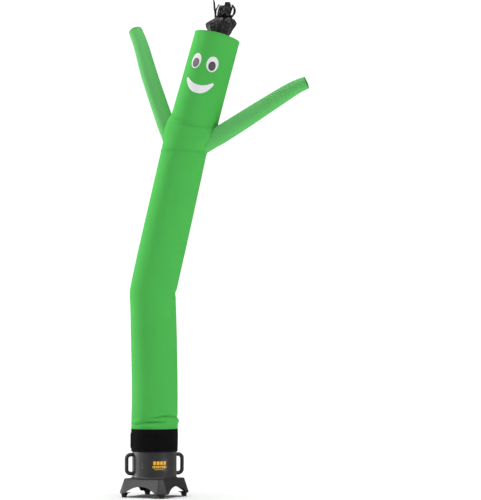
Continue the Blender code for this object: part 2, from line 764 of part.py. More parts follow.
def crown_frame():
    """Centre and directions of the head's top rim."""
    return section_frame(HEAD, CROWN.height)


def make_head_top(parts):
    """The top panel: a slightly domed disc with the air hole in its middle."""
    centre, side, back, up = crown_frame()
    edge = blend(HEAD, CROWN.height, "radius")

    def place(ring, azimuth):
        share = ring / DOME_STEPS
        radius = edge + (HOLE_RADIUS - edge) * share
        rise = DOME_SEAT + DOME_RISE * math.sin(share * math.pi / 2)
        return centre + side * radius * math.sin(azimuth) - back * radius * math.cos(azimuth) + up * rise

    shape = ring_tube(SIDES, DOME_STEPS, place)
    top = add_object("head_top", mesh_from(shape, "head_top"), parts, "cloth")
    add_wall(top, CLOTH)


def hair_point(side, depth, height):
    """A point of the hair, from its side, depth and height over the head's top rim."""
    centre, across, back, up = crown_frame()
    upright = min(1.0, max(0.0, (height - COLLAR[1].height) / HAIR_SETTLE))
    across = across.lerp(Vector((1, 0, 0)), upright)
    axis = Vector((math.tan(math.radians(CROWN.lean)), 0, 1)).lerp(up, 1 - upright)
    return centre + across * side + back * depth + axis * height


def make_hair_collar(parts):
    """The black gathered ring: plain where it is sewn in the hole, pleated where it swells."""

    def place(ring, azimuth):
        row = COLLAR[ring]
        pleat = row.pleat * math.cos(PLEATS * azimuth + PLEAT_TWIST * (ring - WIDEST_RUFFLE))
        radius = row.radius + pleat * (PLEAT_FRONT + PLEAT_SIDE * math.sin(azimuth) ** PLEAT_SHARPNESS)
        return hair_point(radius * math.sin(azimuth), -radius * math.cos(azimuth), row.height)

    shape = ring_tube(COLLAR_SIDES, len(COLLAR) - 1, place)
    collar = add_object("hair_collar", mesh_from(shape, "hair_collar"), parts, "hair")
    add_wall(collar, CLOTH)


def streamer_mesh(name, row):
    """One flat strip, from inside the knot to its free end."""
    turn = Matrix.Rotation(math.radians(row.turn), 3, "Z")

    def place(ring, azimuth):
        share = ring / STREAMER_STEPS
        side = row.side + (row.tip_side - row.side) * share + row.bow * math.sin(share * math.pi)
        depth = row.depth + (row.tip_depth - row.depth) * share
        height = STREAMER_ROOT + (row.tip_height - STREAMER_ROOT) * share
        full = 1.0 - abs(2 * share - 1.0) ** 2
        half_width = row.width / 2 * (STREAMER_NARROW + (1.0 - STREAMER_NARROW) * full)
        corner = turn @ Vector((
            math.copysign(half_width, math.sin(azimuth)),
            math.copysign(STREAMER_HALF_THICK, -math.cos(azimuth)),
            0.0,
        ))
        return hair_point(side + corner.x, depth + corner.y, height)

    shape = ring_tube(4, STREAMER_STEPS, place, capped=True)
    return mesh_from(shape, name, smooth=False)


def make_hair(parts, cutters):
    """The streamers, gathered in one crumpled knot on top of the collar."""

    def place(ring, azimuth):
        row = KNOT_LAYERS[ring]
        radius = KNOT_RADIUS * row.width * (1.0 + KNOT_CRUMPLE * math.cos(KNOT_LOBES * azimuth + ring))
        height = KNOT_BOTTOM + GAP + (KNOT_TOP - KNOT_BOTTOM) * row.rise
        return hair_point(radius * math.sin(azimuth), -radius * math.cos(azimuth), height)

    shape = ring_tube(KNOT_SIDES, len(KNOT_LAYERS) - 1, place, capped=True)
    hair = add_object("hair", mesh_from(shape, "hair"), parts, "hair")
    for number, row in enumerate(STREAMERS, start=1):
        name = f"streamer_{number}"
        combine(hair, add_object(name, streamer_mesh(name, row), cutters), "UNION")


# Face

def head_skin(name, parts, finish, layer):
    """A closed skin that lies on the head's facets, layer 0 on the cloth and 1 on another patch."""
    proud = GAP + layer * (PATCH + GAP)

    def place(ring, azimuth):
        return on_section(HEAD, HEAD_RINGS[ring], azimuth, proud)

    shape = ring_tube(SIDES, len(HEAD_RINGS) - 1, place)
    skin = add_object(name, mesh_from(shape, name), parts, finish)
    add_wall(skin, PATCH, offset=1.0)
    return skin


def stamp_mesh(name, outline, azimuth):
    """A prism through the front of the head, from outline points (side, drop below the crown)."""
    top = crown_frame()[0]
    low = section_frame(HEAD, FACE_BELOW)[0]
    axis = (top - low).normalized()
    level = Vector((0, 1, 0)).cross(axis)
    side = level * math.cos(azimuth) + Vector((0, 1, 0)) * math.sin(azimuth)
    out = level * math.sin(azimuth) - Vector((0, 1, 0)) * math.cos(azimuth)
    shape = bmesh.new()
    for across, drop in outline:
        shape.verts.new(top - axis * drop + side * across + out * STAMP_START)
    face = shape.faces.new(shape.verts)
    pulled = bmesh.ops.extrude_face_region(shape, geom=[face])
    moved = [part for part in pulled["geom"] if isinstance(part, bmesh.types.BMVert)]
    bmesh.ops.translate(shape, verts=moved, vec=out * STAMP_LENGTH)
    bmesh.ops.recalc_face_normals(shape, faces=shape.faces)
    return mesh_from(shape, name, smooth=False)


def oval(width, height, drop, points):
    """Outline of an oval patch."""
    turns = [2 * math.pi * i / points for i in range(points)]
    return [(width / 2 * math.cos(a), drop + height / 2 * math.sin(a)) for a in turns]


def crescent():
    """Outline of the smile: a lower curve, a rounded tip, an upper curve and the other tip."""
    shares = [2 * i / SMILE_STEPS - 1 for i in range(SMILE_STEPS + 1)]
    lower = [
        (SMILE_HALF * u, SMILE_LOW_DROP - (SMILE_LOW_DROP - SMILE_TIP_DROP - SMILE_TIP) * u * u)
        for u in shares
    ]
    inner_half = SMILE_HALF - 2 * SMILE_TIP
    upper = [
        (inner_half * u, SMILE_LIP_DROP - (SMILE_LIP_DROP - SMILE_TIP_DROP) * u * u)
        for u in reversed(shares)
    ]
    tip_drop = SMILE_TIP_DROP - SMILE_TIP / 2
    tip_side = SMILE_HALF - SMILE_TIP
    return lower + [(tip_side, tip_drop)] + upper + [(-tip_side, tip_drop)]


def make_face(parts, cutters):
    """Eyes, pupils and smile, each a patch that lies on the head's own facets."""
    patches = []
    for side, degrees, width in zip(("left", "right"), EYE_AZIMUTHS, EYE_WIDTHS):
        eye = oval(width, EYE_HEIGHT, EYE_DROP, EYE_POINTS)
        pupil = oval(PUPIL_WIDTH, PUPIL_HEIGHT, PUPIL_DROP, PUPIL_POINTS)
        patches.append((f"eye_{side}", "patch", 0, eye, degrees))
        patches.append((f"pupil_{side}", "pupil", 1, pupil, degrees))
    patches.append(("smile", "patch", 0, crescent(), SMILE_AZIMUTH))
    for name, finish, layer, outline, degrees in patches:
        skin = head_skin(name, parts, finish, layer)
        stamp = stamp_mesh(f"{name}_outline", outline, math.radians(degrees))
        combine(skin, add_object(f"{name}_outline", stamp, cutters), "INTERSECT")


# Whole object

def centre_footprint(parts, cutters):
    """Hang everything on one empty and move it so that the footprint is centred on the origin."""
    graph = bpy.context.evaluated_depsgraph_get()
    corners = []
    for piece in parts.objects:
        ready = piece.evaluated_get(graph)
        corners += [ready.matrix_world @ Vector(corner) for corner in ready.bound_box]
    middle = [(min(c[i] for c in corners) + max(c[i] for c in corners)) / 2 for i in range(2)]
    stand = bpy.data.objects.new("stand_point", None)
    cutters.objects.link(stand)
    for piece in list(parts.objects) + list(cutters.objects):
        if piece is not stand:
            piece.parent = stand
    stand.location = (-middle[0], -middle[1], 0.0)


def main():
    """Build the blower, the cloth and the face, then centre them."""
    clear_scene()
    parts = new_collection("air_dancer")
    cutters = new_collection("cutters")

    make_barrel(parts)
    make_loop_strip(parts)
    make_base(parts, cutters)
    make_feet(parts)
    make_handle("handle_left", TURN - math.pi / 2, parts, cutters)
    make_handle("handle_right", TURN + math.pi / 2, parts, cutters)
    barrel_patch("label", TURN, LABEL_WIDTH, LABEL_BOTTOM, LABEL_TOP, parts, cutters, "label")
    make_screws(parts)

    make_cuff(parts)
    make_trunk_piece("body_tube", BODY, BODY_RINGS, lambda h, a: -fold_depth(h, a), parts, 0.0, GAP / 2)
    torso = make_trunk_piece("torso", TORSO, TORSO_RINGS, shoulder_bulge, parts, GAP / 2, GAP / 2)
    make_trunk_piece("head", HEAD, HEAD_RINGS, fold_free, parts, GAP / 2, 0.0)
    make_arms(parts, cutters, torso)
    make_head_top(parts)
    make_hair_collar(parts)
    make_hair(parts, cutters)
    make_face(parts, cutters)
    centre_footprint(parts, cutters)


main()
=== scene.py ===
"""Visual pieces of an inflatable air dancer on its blower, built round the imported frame.

Metres, +Z up, the viewer at -Y.  An azimuth is an angle round an upright axis, 0 towards the viewer
and positive to the viewer's right.  Shapes are worked out about the blower's axis and moved onto it.
"""

import math
from collections import namedtuple

import bmesh
import bpy
from mathutils import Matrix, Vector, noise
from mathutils.bvhtree import BVHTree


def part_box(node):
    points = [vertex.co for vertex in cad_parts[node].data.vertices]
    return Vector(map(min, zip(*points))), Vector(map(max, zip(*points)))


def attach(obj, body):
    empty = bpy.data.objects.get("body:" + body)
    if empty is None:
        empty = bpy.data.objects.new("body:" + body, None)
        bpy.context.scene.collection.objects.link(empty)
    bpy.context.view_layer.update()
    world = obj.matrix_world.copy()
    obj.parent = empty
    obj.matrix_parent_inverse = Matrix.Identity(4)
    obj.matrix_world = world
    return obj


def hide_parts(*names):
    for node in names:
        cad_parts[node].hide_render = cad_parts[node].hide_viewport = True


bl_info = {
    "name": "Inflatable Air Dancer",
    "version": (1, 0, 0),
    "blender": (4, 5, 0),
    "location": "View3D > Sidebar > Air Dancer",
    "description": "Builds a sewn nylon tube figure with its cuff, hair, face and moulded blower",
    "category": "Add Mesh",
}

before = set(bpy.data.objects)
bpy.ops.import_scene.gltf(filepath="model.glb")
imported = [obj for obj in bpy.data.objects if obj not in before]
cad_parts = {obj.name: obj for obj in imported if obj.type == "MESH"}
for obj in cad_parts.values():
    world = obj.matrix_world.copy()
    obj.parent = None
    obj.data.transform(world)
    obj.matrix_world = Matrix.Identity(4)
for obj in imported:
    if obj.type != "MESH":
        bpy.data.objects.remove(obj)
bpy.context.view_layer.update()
BARREL_LOW, BARREL_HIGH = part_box("barrel")
AXIS = Vector(((BARREL_LOW.x + BARREL_HIGH.x) / 2, (BARREL_LOW.y + BARREL_HIGH.y) / 2, 0.0))
BODY = "root"

# Trunk of the dancer.  lean and tip turn a section about the depth and the side axis.
Section = namedtuple("Section", "height side radius lean tip")
WAIST = Section(2.469, 0.2055, 0.1650, 4.0, 4.0)
NECK = Section(2.705, 0.2840, 0.1720, 15.1, 21.0)
CROWN = Section(3.308, 0.4457, 0.1655, 14.1, 0.0)
TUBE_BOTTOM = 0.466
CUFF_TOP = 0.481
HEM_RADIUS = 0.1645
TUBE = (
    Section(TUBE_BOTTOM, 0.000, HEM_RADIUS, 0.0, 0.0),
    Section(CUFF_TOP, 0.000, HEM_RADIUS, 0.0, 0.0),
    Section(0.495, 0.000, 0.1660, 0.0, 0.0),
    Section(0.690, 0.001, 0.1640, 0.0, 0.0),
    Section(1.038, -0.004, 0.1640, 0.5, 0.0),
    Section(1.296, -0.011, 0.1640, 0.5, 0.0),
    Section(1.425, -0.015, 0.1650, 1.0, 0.0),
    Section(1.470, -0.012, 0.1660, 5.0, 0.0),
    Section(1.545, 0.002, 0.1660, 10.5, 0.0),
    Section(1.988, 0.099, 0.1655, 12.0, 0.0),
    WAIST,
)
TORSO = (
    WAIST,
    Section(2.523, 0.2220, 0.1680, 7.0, 8.0),
    Section(2.604, 0.2490, 0.1700, 11.0, 14.0),
    NECK,
)
HEAD = (
    NECK,
    Section(2.788, 0.3060, 0.1710, 15.5, 14.0),
    Section(2.900, 0.3360, 0.1695, 15.5, 5.0),
    Section(3.104, 0.3910, 0.1675, 15.5, 0.0),
    CROWN,
)

# Folds: azimuth of the middle, half width round the tube, height at the middle, rise over the half
# width, depth (negative is a bulge) and half height
Fold = namedtuple("Fold", "azimuth reach height rise depth spread")
TUBE_FOLDS = (
    Fold(-56.0, 52.0, 0.517, 0.016, 0.012, 0.010),
    Fold(-2.0, 36.0, 0.535, 0.004, 0.015, 0.010),
    Fold(16.0, 34.0, 0.570, 0.010, 0.011, 0.008),
    Fold(-14.0, 60.0, 0.509, 0.008, -0.005, 0.009),
    Fold(30.0, 46.0, 0.553, 0.004, -0.004, 0.009),
    Fold(62.0, 44.0, 0.570, -0.006, 0.013, 0.009),
    Fold(88.0, 45.0, 0.538, 0.000, -0.009, 0.018),
    Fold(175.0, 50.0, 0.548, -0.010, 0.009, 0.013),
    Fold(-130.0, 35.0, 0.574, 0.008, 0.006, 0.012),
    Fold(-90.0, 50.0, 0.508, 0.000, -0.006, 0.010),
    Fold(95.0, 55.0, 1.463, 0.000, 0.007, 0.022),
    Fold(20.0, 34.0, 0.600, 0.008, 0.003, 0.010),
    Fold(-62.0, 26.0, 0.556, 0.012, 0.003, 0.009),
    Fold(30.0, 30.0, 0.512, 0.006, 0.004, 0.007),
    Fold(120.0, 30.0, 0.586, -0.008, 0.005, 0.010),
    Fold(70.0, 30.0, 1.428, 0.010, 0.003, 0.012),
    Fold(130.0, 26.0, 1.488, -0.012, 0.004, 0.012),
    Fold(-85.0, 60.0, 1.440, 0.000, -0.002, 0.050),
)
TORSO_FOLDS = (
    Fold(-24.0, 42.0, 2.686, 0.011, 0.0060, 0.0085),
    Fold(-40.0, 22.0, 2.664, 0.010, 0.0015, 0.008),
    Fold(52.0, 24.0, 2.688, -0.008, 0.0040, 0.012),
    Fold(30.0, 40.0, 2.486, 0.003, 0.0016, 0.007),
    Fold(150.0, 40.0, 2.682, -0.006, 0.0050, 0.010),
    Fold(-150.0, 34.0, 2.520, 0.008, 0.0030, 0.012),
)
HEAD_FOLDS = (
    Fold(-30.0, 40.0, 2.722, 0.010, -0.0030, 0.010),
    Fold(60.0, 30.0, 2.722, -0.004, 0.0040, 0.012),
    Fold(160.0, 46.0, 2.730, 0.006, 0.0050, 0.012),
)
FOLD_ENDS = 0.7
PUCKER_SPREAD = 0.022
TUBE_RADIUS = 0.165

DANCER_TURN = -15.0
SHOULDER_BULGE = 0.024
SHOULDER_HEIGHT = 2.620
SHOULDER_SPREAD = 0.085
SHOULDER_SHARPNESS = 4

# Sleeves: centre line and radius from inside the torso to the open hand
Sleeve = namedtuple("Sleeve", "x y z radius")
SLEEVE_LEFT = (
    Sleeve(0.156, 0.010, 2.464, 0.0640),
    Sleeve(0.117, 0.026, 2.561, 0.0640),
    Sleeve(0.082, 0.046, 2.652, 0.0640),
    Sleeve(0.043, 0.078, 2.763, 0.0633),
    Sleeve(-0.054, 0.150, 3.056, 0.0612),
    Sleeve(-0.119, 0.228, 3.281, 0.0555),
    Sleeve(-0.165, 0.285, 3.408, 0.0512),
)
SLEEVE_RIGHT = (
    Sleeve(0.287, -0.020, 2.487, 0.0660),
    Sleeve(0.347, -0.034, 2.519, 0.0660),
    Sleeve(0.409, -0.048, 2.554, 0.0660),
    Sleeve(0.475, -0.064, 2.589, 0.0660),
    Sleeve(0.658, -0.107, 2.700, 0.0638),
    Sleeve(0.838, -0.150, 2.810, 0.0587),
    Sleeve(0.996, -0.190, 2.903, 0.0506),
    Sleeve(1.085, -0.212, 2.940, 0.0436),
)

# Crown panel and hair, heights over the crown's rim
HOLE_RADIUS = 0.080
DOME_RISE = 0.014
HAIR_SETTLE = 0.050
HAIR_START = 0.022
PLEATS = 8
Ruffle = namedtuple("Ruffle", "height radius pleat")
COLLAR = (
    Ruffle(0.004, 0.0785, 0.000),
    Ruffle(0.022, 0.0787, 0.001),
    Ruffle(0.045, 0.085, 0.004),
    Ruffle(0.078, 0.093, 0.008),
    Ruffle(0.101, 0.090, 0.010),
    Ruffle(0.122, 0.076, 0.010),
    Ruffle(0.137, 0.057, 0.005),
)
KNOT = (0.1370, 0.1590)
KNOT_RADIUS = 0.061
KNOT_SHIFT = 0.009
Streamer = namedtuple("Streamer", "side depth tip_side tip_depth tip_height width turn bow")
STREAMERS = (
    Streamer(-0.050, -0.010, -0.095, -0.018, 0.268, 0.014, 8.0, 0.002),
    Streamer(-0.050, 0.014, -0.050, 0.022, 0.246, 0.014, -12.0, -0.010),
    Streamer(-0.018, -0.018, -0.024, -0.024, 0.228, 0.046, 8.0, 0.000),
    Streamer(0.022, -0.006, 0.010, -0.006, 0.256, 0.054, -10.0, 0.004),
    Streamer(0.046, 0.012, 0.050, 0.016, 0.238, 0.017, 10.0, 0.000),
    Streamer(0.068, -0.014, 0.051, -0.018, 0.234, 0.018, 12.0, 0.020),
    Streamer(0.000, 0.022, -0.006, 0.034, 0.240, 0.040, 14.0, 0.008),
    Streamer(-0.024, 0.034, -0.034, 0.062, 0.216, 0.026, 35.0, 0.006),
    Streamer(0.024, 0.036, 0.030, 0.066, 0.226, 0.024, -30.0, -0.006),
    Streamer(0.004, -0.040, 0.008, -0.062, 0.204, 0.030, -6.0, 0.004),
)

# Face, in lengths down from the crown and azimuths on the head
EYE_DROP = 0.229
EYE_AZIMUTHS = (-33.0, 9.7)
EYE_SIZES = ((0.078, 0.111), (0.086, 0.111))
PUPIL_SIZE = (0.051, 0.066)
PUPIL_DROP = EYE_DROP + 0.014
SMILE_AZIMUTH = -10.6
SMILE_HALF = 0.110
SMILE_TIP_DROP = 0.353
SMILE_LOW_DROP = 0.440
SMILE_LIP_DROP = 0.388
SMILE_TIP = 0.010
SMILE_ROUND = 0.90
SMILE_CORNER = 0.024
SMILE_CHART = 0.24
PATCH_WALL = 0.0006
EYE_PROUD = 0.0004
PUPIL_PROUD = 0.0017
SMILE_PROUD = 0.0010
RIM_HEIGHT = 0.0007


def clamp(value):
    """A value kept between 0 and 1."""
    return min(1.0, max(0.0, value))


# Operator helpers

MERGE = 0.00002


def start_clean():
    """Leave nothing selected, so that an operator acts on its own piece alone."""
    if bpy.context.object and bpy.context.object.mode != "OBJECT":
        bpy.ops.object.mode_set(mode="OBJECT")
    bpy.ops.object.select_all(action="DESELECT")


def activate(piece):
    """Select one piece and make it the active one."""
    start_clean()
    piece.select_set(True)
    bpy.context.view_layer.objects.active = piece


def apply_modifier(piece, kind, **settings):
    """Add a modifier with its settings and apply it."""
    activate(piece)
    modifier = piece.modifiers.new(kind.lower(), kind)
    for name, value in settings.items():
        setattr(modifier, name, value)
    bpy.ops.object.modifier_apply(modifier=modifier.name)


def settle(piece):
    """Put a piece's place, turn and size into its mesh."""
    activate(piece)
    bpy.ops.object.transform_apply(location=True, rotation=True, scale=True)


def finish_piece(piece, material, nodes=(), smooth=35.0):
    """Shade, paint and hang a piece on the frame in place of the solids it stands for."""
    activate(piece)
    bpy.ops.object.shade_smooth_by_angle(angle=math.radians(smooth))
    piece.data.materials.clear()
    piece.data.materials.append(material)
    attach(piece, BODY)
    if nodes:
        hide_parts(*nodes)
    return piece


def named(name):
    """The object that an operator has just made, under a name of its own."""
    piece = bpy.context.object
    piece.name = piece.data.name = name
    return piece


def open_mesh():
    """Go into the active piece's mesh with all of it selected."""
    bpy.ops.object.mode_set(mode="EDIT")
    bpy.ops.mesh.select_all(action="SELECT")


def close_mesh():
    """Face the selected mesh outwards and leave it."""
    bpy.ops.mesh.normals_make_consistent(inside=False)
    bpy.ops.object.mode_set(mode="OBJECT")


def wall(piece, thickness, offset=-1.0):
    """Close the doubles of a rolled sheet, face it outwards and give it its thickness."""
    activate(piece)
    open_mesh()
    bpy.ops.mesh.remove_doubles(threshold=MERGE)
    close_mesh()
    apply_modifier(piece, "SOLIDIFY", thickness=thickness, offset=offset, use_even_offset=False)


def cloth_grid(name, columns, rows, flat, place):
    """A flat rectangle of cloth whose points are then put at place(across, up), both 0 to 1.

    Its UV map is in metres on the flat cut.
    """
    start_clean()
    bpy.ops.mesh.primitive_grid_add(x_subdivisions=columns, y_subdivisions=rows, size=1.0, calc_uvs=True)
    piece = named(name)
    for point in piece.data.vertices:
        point.co = place(clamp(point.co.x + 0.5), clamp(point.co.y + 0.5))
    for corner in piece.data.uv_layers.active.data:
        corner.uv = (corner.uv.x * flat[0], corner.uv.y * flat[1])
    return piece


def turned(name, profile, steps, centre):
    """Spin a closed outline of (radius, height) points about an upright axis through centre."""
    start_clean()
    bpy.ops.mesh.primitive_circle_add(vertices=len(profile), location=(0.0, 0.0, 0.0))
    piece = named(name)
    for point, (radius, height) in zip(piece.data.vertices, profile):
        point.co = centre + Vector((radius, 0.0, height))
    open_mesh()
    bpy.ops.mesh.spin(steps=steps, angle=2 * math.pi, center=centre, axis=(0, 0, 1))
    bpy.ops.mesh.select_all(action="SELECT")
    bpy.ops.mesh.remove_doubles(threshold=MERGE)
    close_mesh()
    return piece


def copy_piece(piece, name, matrix):
    """A copy with a mesh of its own, moved by a matrix."""
    twin = piece.copy()
    twin.data = piece.data.copy()
    twin.name = twin.data.name = name
    bpy.context.scene.collection.objects.link(twin)
    twin.data.transform(matrix)
    return twin


def cut_away(piece, *cutters):
    """Cut one or more helper objects out of a piece and delete them."""
    for cutter in cutters:
        apply_modifier(piece, "BOOLEAN", object=cutter, operation="DIFFERENCE")
        bpy.data.objects.remove(cutter, do_unlink=True)


def turn_about(azimuth):
    """A turn about the blower's axis."""
    return Matrix.Translation(AXIS) @ Matrix.Rotation(azimuth, 4, "Z") @ Matrix.Translation(-AXIS)


STITCH_PITCH = 0.0075
STITCH_LENGTH = 0.0048
STITCH_WIDTH = 0.0009
STITCH_STEP = 0.002


def even_shares(length):
    """Shares of a seam's length at which its stitches lie."""
    count = max(3, round(length / STITCH_PITCH))
    return [(i + 0.5) / count for i in range(count)]


def stitches_on(place, path, upright=False):
    """Stitch places (point, direction, outward) at (across, up) pairs on the surface place(across, up)."""
    places = []
    for across, up in path:
        around = place(across + STITCH_STEP, up) - place(across - STITCH_STEP, up)
        rise = place(across, up + STITCH_STEP) - place(across, up - STITCH_STEP)
        outward = around.cross(rise).normalized()
        where = place(across, up) + outward * STITCH_WIDTH * 0.3
        places.append((where, rise if upright else around, outward))
    return places


def stitch_row(name, places, material):
    """Short threads lying on a surface, from places of (point, direction, outward)."""
    start_clean()
    bpy.ops.mesh.primitive_cylinder_add(vertices=6, radius=1.0, depth=2.0, rotation=(0.0, math.pi / 2, 0.0))
    model = bpy.context.object
    settle(model)
    length, width = STITCH_LENGTH / 2, STITCH_WIDTH / 2
    for point in model.data.vertices:
        point.co = (point.co.x * length, point.co.y * width, point.co.z * width)
    row = bmesh.new()
    for where, along, outward in places:
        along = (along - outward * along.dot(outward)).normalized()
        turned_to = Matrix((along, outward.cross(along), outward)).transposed().to_4x4()
        known = len(row.verts)
        row.from_mesh(model.data)
        row.verts.ensure_lookup_table()
        bmesh.ops.transform(row, matrix=Matrix.Translation(where) @ turned_to, verts=row.verts[known:])
    row.to_mesh(model.data)
    row.free()
    model.name = model.data.name = name
    return finish_piece(model, material, smooth=60.0)


def sew(name, place, path, thread, upright=False):
    """One row of stitches at (across, up) pairs on the surface place(across, up)."""
    return stitch_row(name, stitches_on(place, path, upright), thread)


def sew_round(name, place, up, length, thread):
    """One level row of stitches over the whole width of a sheet, at one height."""
    return sew(name, place, [(share, up) for share in even_shares(length)], thread)


# Smooth tables

def slope_between(before, middle, after, field):
    """Slope of a smooth curve at the middle row, flat where the rows turn back."""
    sides = []
    for low, high in ((before, middle), (middle, after)):
        if high.height > low.height:
            sides.append((getattr(high, field) - getattr(low, field)) / (high.height - low.height))
    if len(sides) == 2 and sides[0] * sides[1] <= 0:
        return 0.0
    return sum(sides) / len(sides)


def blend(table, height, field):
    """Read one field of a table at a height, on a smooth curve through its rows."""
    last = len(table) - 2
    index = next((i for i in range(last + 1) if height <= table[i + 1].height), last)
    here, there = table[index], table[index + 1]
    span = there.height - here.height
    slope_in = slope_between(table[max(index - 1, 0)], here, there, field)
    slope_out = slope_between(here, there, table[min(index + 2, len(table) - 1)], field)
    t = (height - here.height) / span
    return (
        getattr(here, field) * (2 * t**3 - 3 * t**2 + 1)
        + getattr(there, field) * (3 * t**2 - 2 * t**3)
        + span * slope_in * (t**3 - 2 * t**2 + t)
        + span * slope_out * (t**3 - t**2)
    )


def section_frame(table, height):
    """Centre of a section, and the unit vectors to its side, its back and up along the tube."""
    centre = AXIS + Vector((blend(table, height, "side"), 0.0, height))
    tilt = (
        Matrix.Rotation(math.radians(blend(table, height, "lean")), 3, "Y")
        @ Matrix.Rotation(math.radians(blend(table, height, "tip")), 3, "X")
    )
    return centre, tilt @ Vector((1, 0, 0)), tilt @ Vector((0, 1, 0)), tilt @ Vector((0, 0, 1))


def round_angle(share):
    """The azimuth at a share of the way round a tube, from its seam at the back."""
    return (share - 0.5) * 2 * math.pi


def circle_point(centre, side, back, radius, azimuth):
    """A point at a radius and an azimuth round a centre."""
    return centre + side * radius * math.sin(azimuth) - back * radius * math.cos(azimuth)


def on_section(table, height, azimuth, proud=0.0):
    """The point of a trunk section at an azimuth, standing proud of its own radius."""
    centre, side, back, _ = section_frame(table, height)
    radius = blend(table, height, "radius") + proud
    return circle_point(centre, side, back, radius, azimuth)


def bell(distance, spread):
    """1 at the middle, falling off smoothly over the spread."""
    return math.exp(-((distance / spread) ** 2))


def noise_round(azimuth, scale, along):
    """Noise that meets itself on the way round a tube."""
    return noise.noise(Vector((math.sin(azimuth) * scale, math.cos(azimuth) * scale, along)))


def fold_depth(folds, height, azimuth):
    """How far the folds pull a tube in at a place."""
    depth = 0.0
    for fold in folds:
        away = (math.degrees(azimuth) - fold.azimuth + 180.0) % 360.0 - 180.0
        along = away / fold.reach
        if abs(along) < 1.0:
            middle = fold.height + fold.rise * along
            fade = math.cos(along * math.pi / 2) ** FOLD_ENDS
            depth += fold.depth * fade * bell(height - middle, fold.spread)
    return depth


def shoulder_bulge(height, azimuth):
    """How far the arms pull the torso out at a place."""
    away = azimuth - math.radians(90.0 + DANCER_TURN)
    across = (height - SHOULDER_HEIGHT) / SHOULDER_SPREAD
    return SHOULDER_BULGE * math.cos(away) ** SHOULDER_SHARPNESS * max(0.0, 1.0 - across * across)


def slack(azimuth, height, size, seed):
    """Soft unevenness of cloth held up by air."""
    return size * noise_round(azimuth, 1.6, height * 2.2 + seed)


def puckers(azimuth, distance, count, size, seed):
    """Short gathers that run away from a seam."""
    uneven = 0.6 + 0.8 * noise_round(azimuth, 3.0, seed)
    phase = 2.0 * noise.noise(Vector((azimuth, seed, 0)))
    return size * uneven * math.cos(count * azimuth + phase) * bell(distance, PUCKER_SPREAD)


def back_seam(azimuth):
    """The lengthwise seam at the back draws the cloth in along a narrow line."""
    away = (math.pi - abs(azimuth)) * TUBE_RADIUS
    return -0.0022 * bell(away, 0.006) + 0.0008 * bell(away - 0.011, 0.004)


# Materials

def node_material(name, colour, roughness, **inputs):
    """A Principled material; returns it with its node tree and its shader."""
    material = bpy.data.materials.new(name)
    material.use_nodes = True
    tree = material.node_tree
    shader = tree.nodes["Principled BSDF"]
    shader.inputs["Base Color"].default_value = (*colour, 1.0)
    shader.inputs["Roughness"].default_value = roughness
    for key, value in inputs.items():
        shader.inputs[key.replace("_", " ")].default_value = value
    return material, tree, shader


def add_node(tree, kind, inputs=None, **settings):
    """Add a node with its settings; inputs may hold values or sockets to link."""
    node = tree.nodes.new(f"ShaderNode{kind}")
    for name, value in settings.items():
        setattr(node, name, value)
    for name, value in (inputs or {}).items():
        if isinstance(value, bpy.types.NodeSocket):
            tree.links.new(value, node.inputs[name])
        else:
            node.inputs[name].default_value = value
    return node


def math_node(tree, operation, first, second=0.5):
    """One Math node; its inputs may be numbers or sockets."""
    return add_node(tree, "Math", {0: first, 1: second}, operation=operation).outputs[0]


def object_place(tree):
    """Object coordinates in metres."""
    return add_node(tree, "TexCoord").outputs["Object"]


def cloth_place(tree):
    """The cut's own UV map in metres."""
    return add_node(tree, "UVMap").outputs["UV"]


def noise_map(tree, place, scale, **inputs):
    """Fractal noise; the further inputs are its Detail and Roughness."""
    return add_node(tree, "TexNoise", {"Vector": place, "Scale": scale, **inputs}).outputs[0]


def wave_map(tree, scale, distortion, direction):
    """Waves in object coordinates."""
    inputs = {"Vector": object_place(tree), "Scale": scale, "Distortion": distortion}
    return add_node(tree, "TexWave", inputs, bands_direction=direction).outputs[1]


def vary_roughness(tree, shader, factor, low, high):
    """Let a factor move the roughness between two values."""
    rough = add_node(tree, "MapRange", {"Value": factor, "To Min": low, "To Max": high})
    tree.links.new(rough.outputs[0], shader.inputs["Roughness"])


def threads(tree, uv, pitch, share):
    """1 on thin lines every pitch metres both ways of the cloth, 0 between them."""
    lines = []
    split = add_node(tree, "SeparateXYZ", {"Vector": uv})
    for axis in ("X", "Y"):
        turns = math_node(tree, "MULTIPLY", split.outputs[axis], 1.0 / pitch)
        saw = math_node(tree, "FRACT", turns)
        lines.append(math_node(tree, "LESS_THAN", saw, share))
    return math_node(tree, "MAXIMUM", *lines)


def mixed_colour(tree, factor, low, high):
    """A colour between two, by a factor."""
    mix = add_node(tree, "Mix", {"Factor": factor}, data_type="RGBA")
    for socket, colour in zip([s for s in mix.inputs if s.type == "RGBA"], (low, high)):
        if isinstance(colour, bpy.types.NodeSocket):
            tree.links.new(colour, socket)
        else:
            socket.default_value = (*colour, 1.0)
    return next(s for s in mix.outputs if s.type == "RGBA")


def paint(tree, shader, factor, low, high):
    """Give the shader a base colour between two, by a factor."""
    tree.links.new(mixed_colour(tree, factor, low, high), shader.inputs["Base Color"])


def bump(tree, shader, height, strength, distance, below=None):
    """Put a bump on the shader, on top of another one where given."""
    inputs = {"Height": height, "Strength": strength, "Distance": distance}
    if below is not None:
        inputs["Normal"] = below
    node = add_node(tree, "Bump", inputs)
    tree.links.new(node.outputs["Normal"], shader.inputs["Normal"])
    return node.outputs["Normal"]


def shade(colour, factor):
    """A colour made lighter or darker."""
    return tuple(min(1.0, channel * factor) for channel in colour)


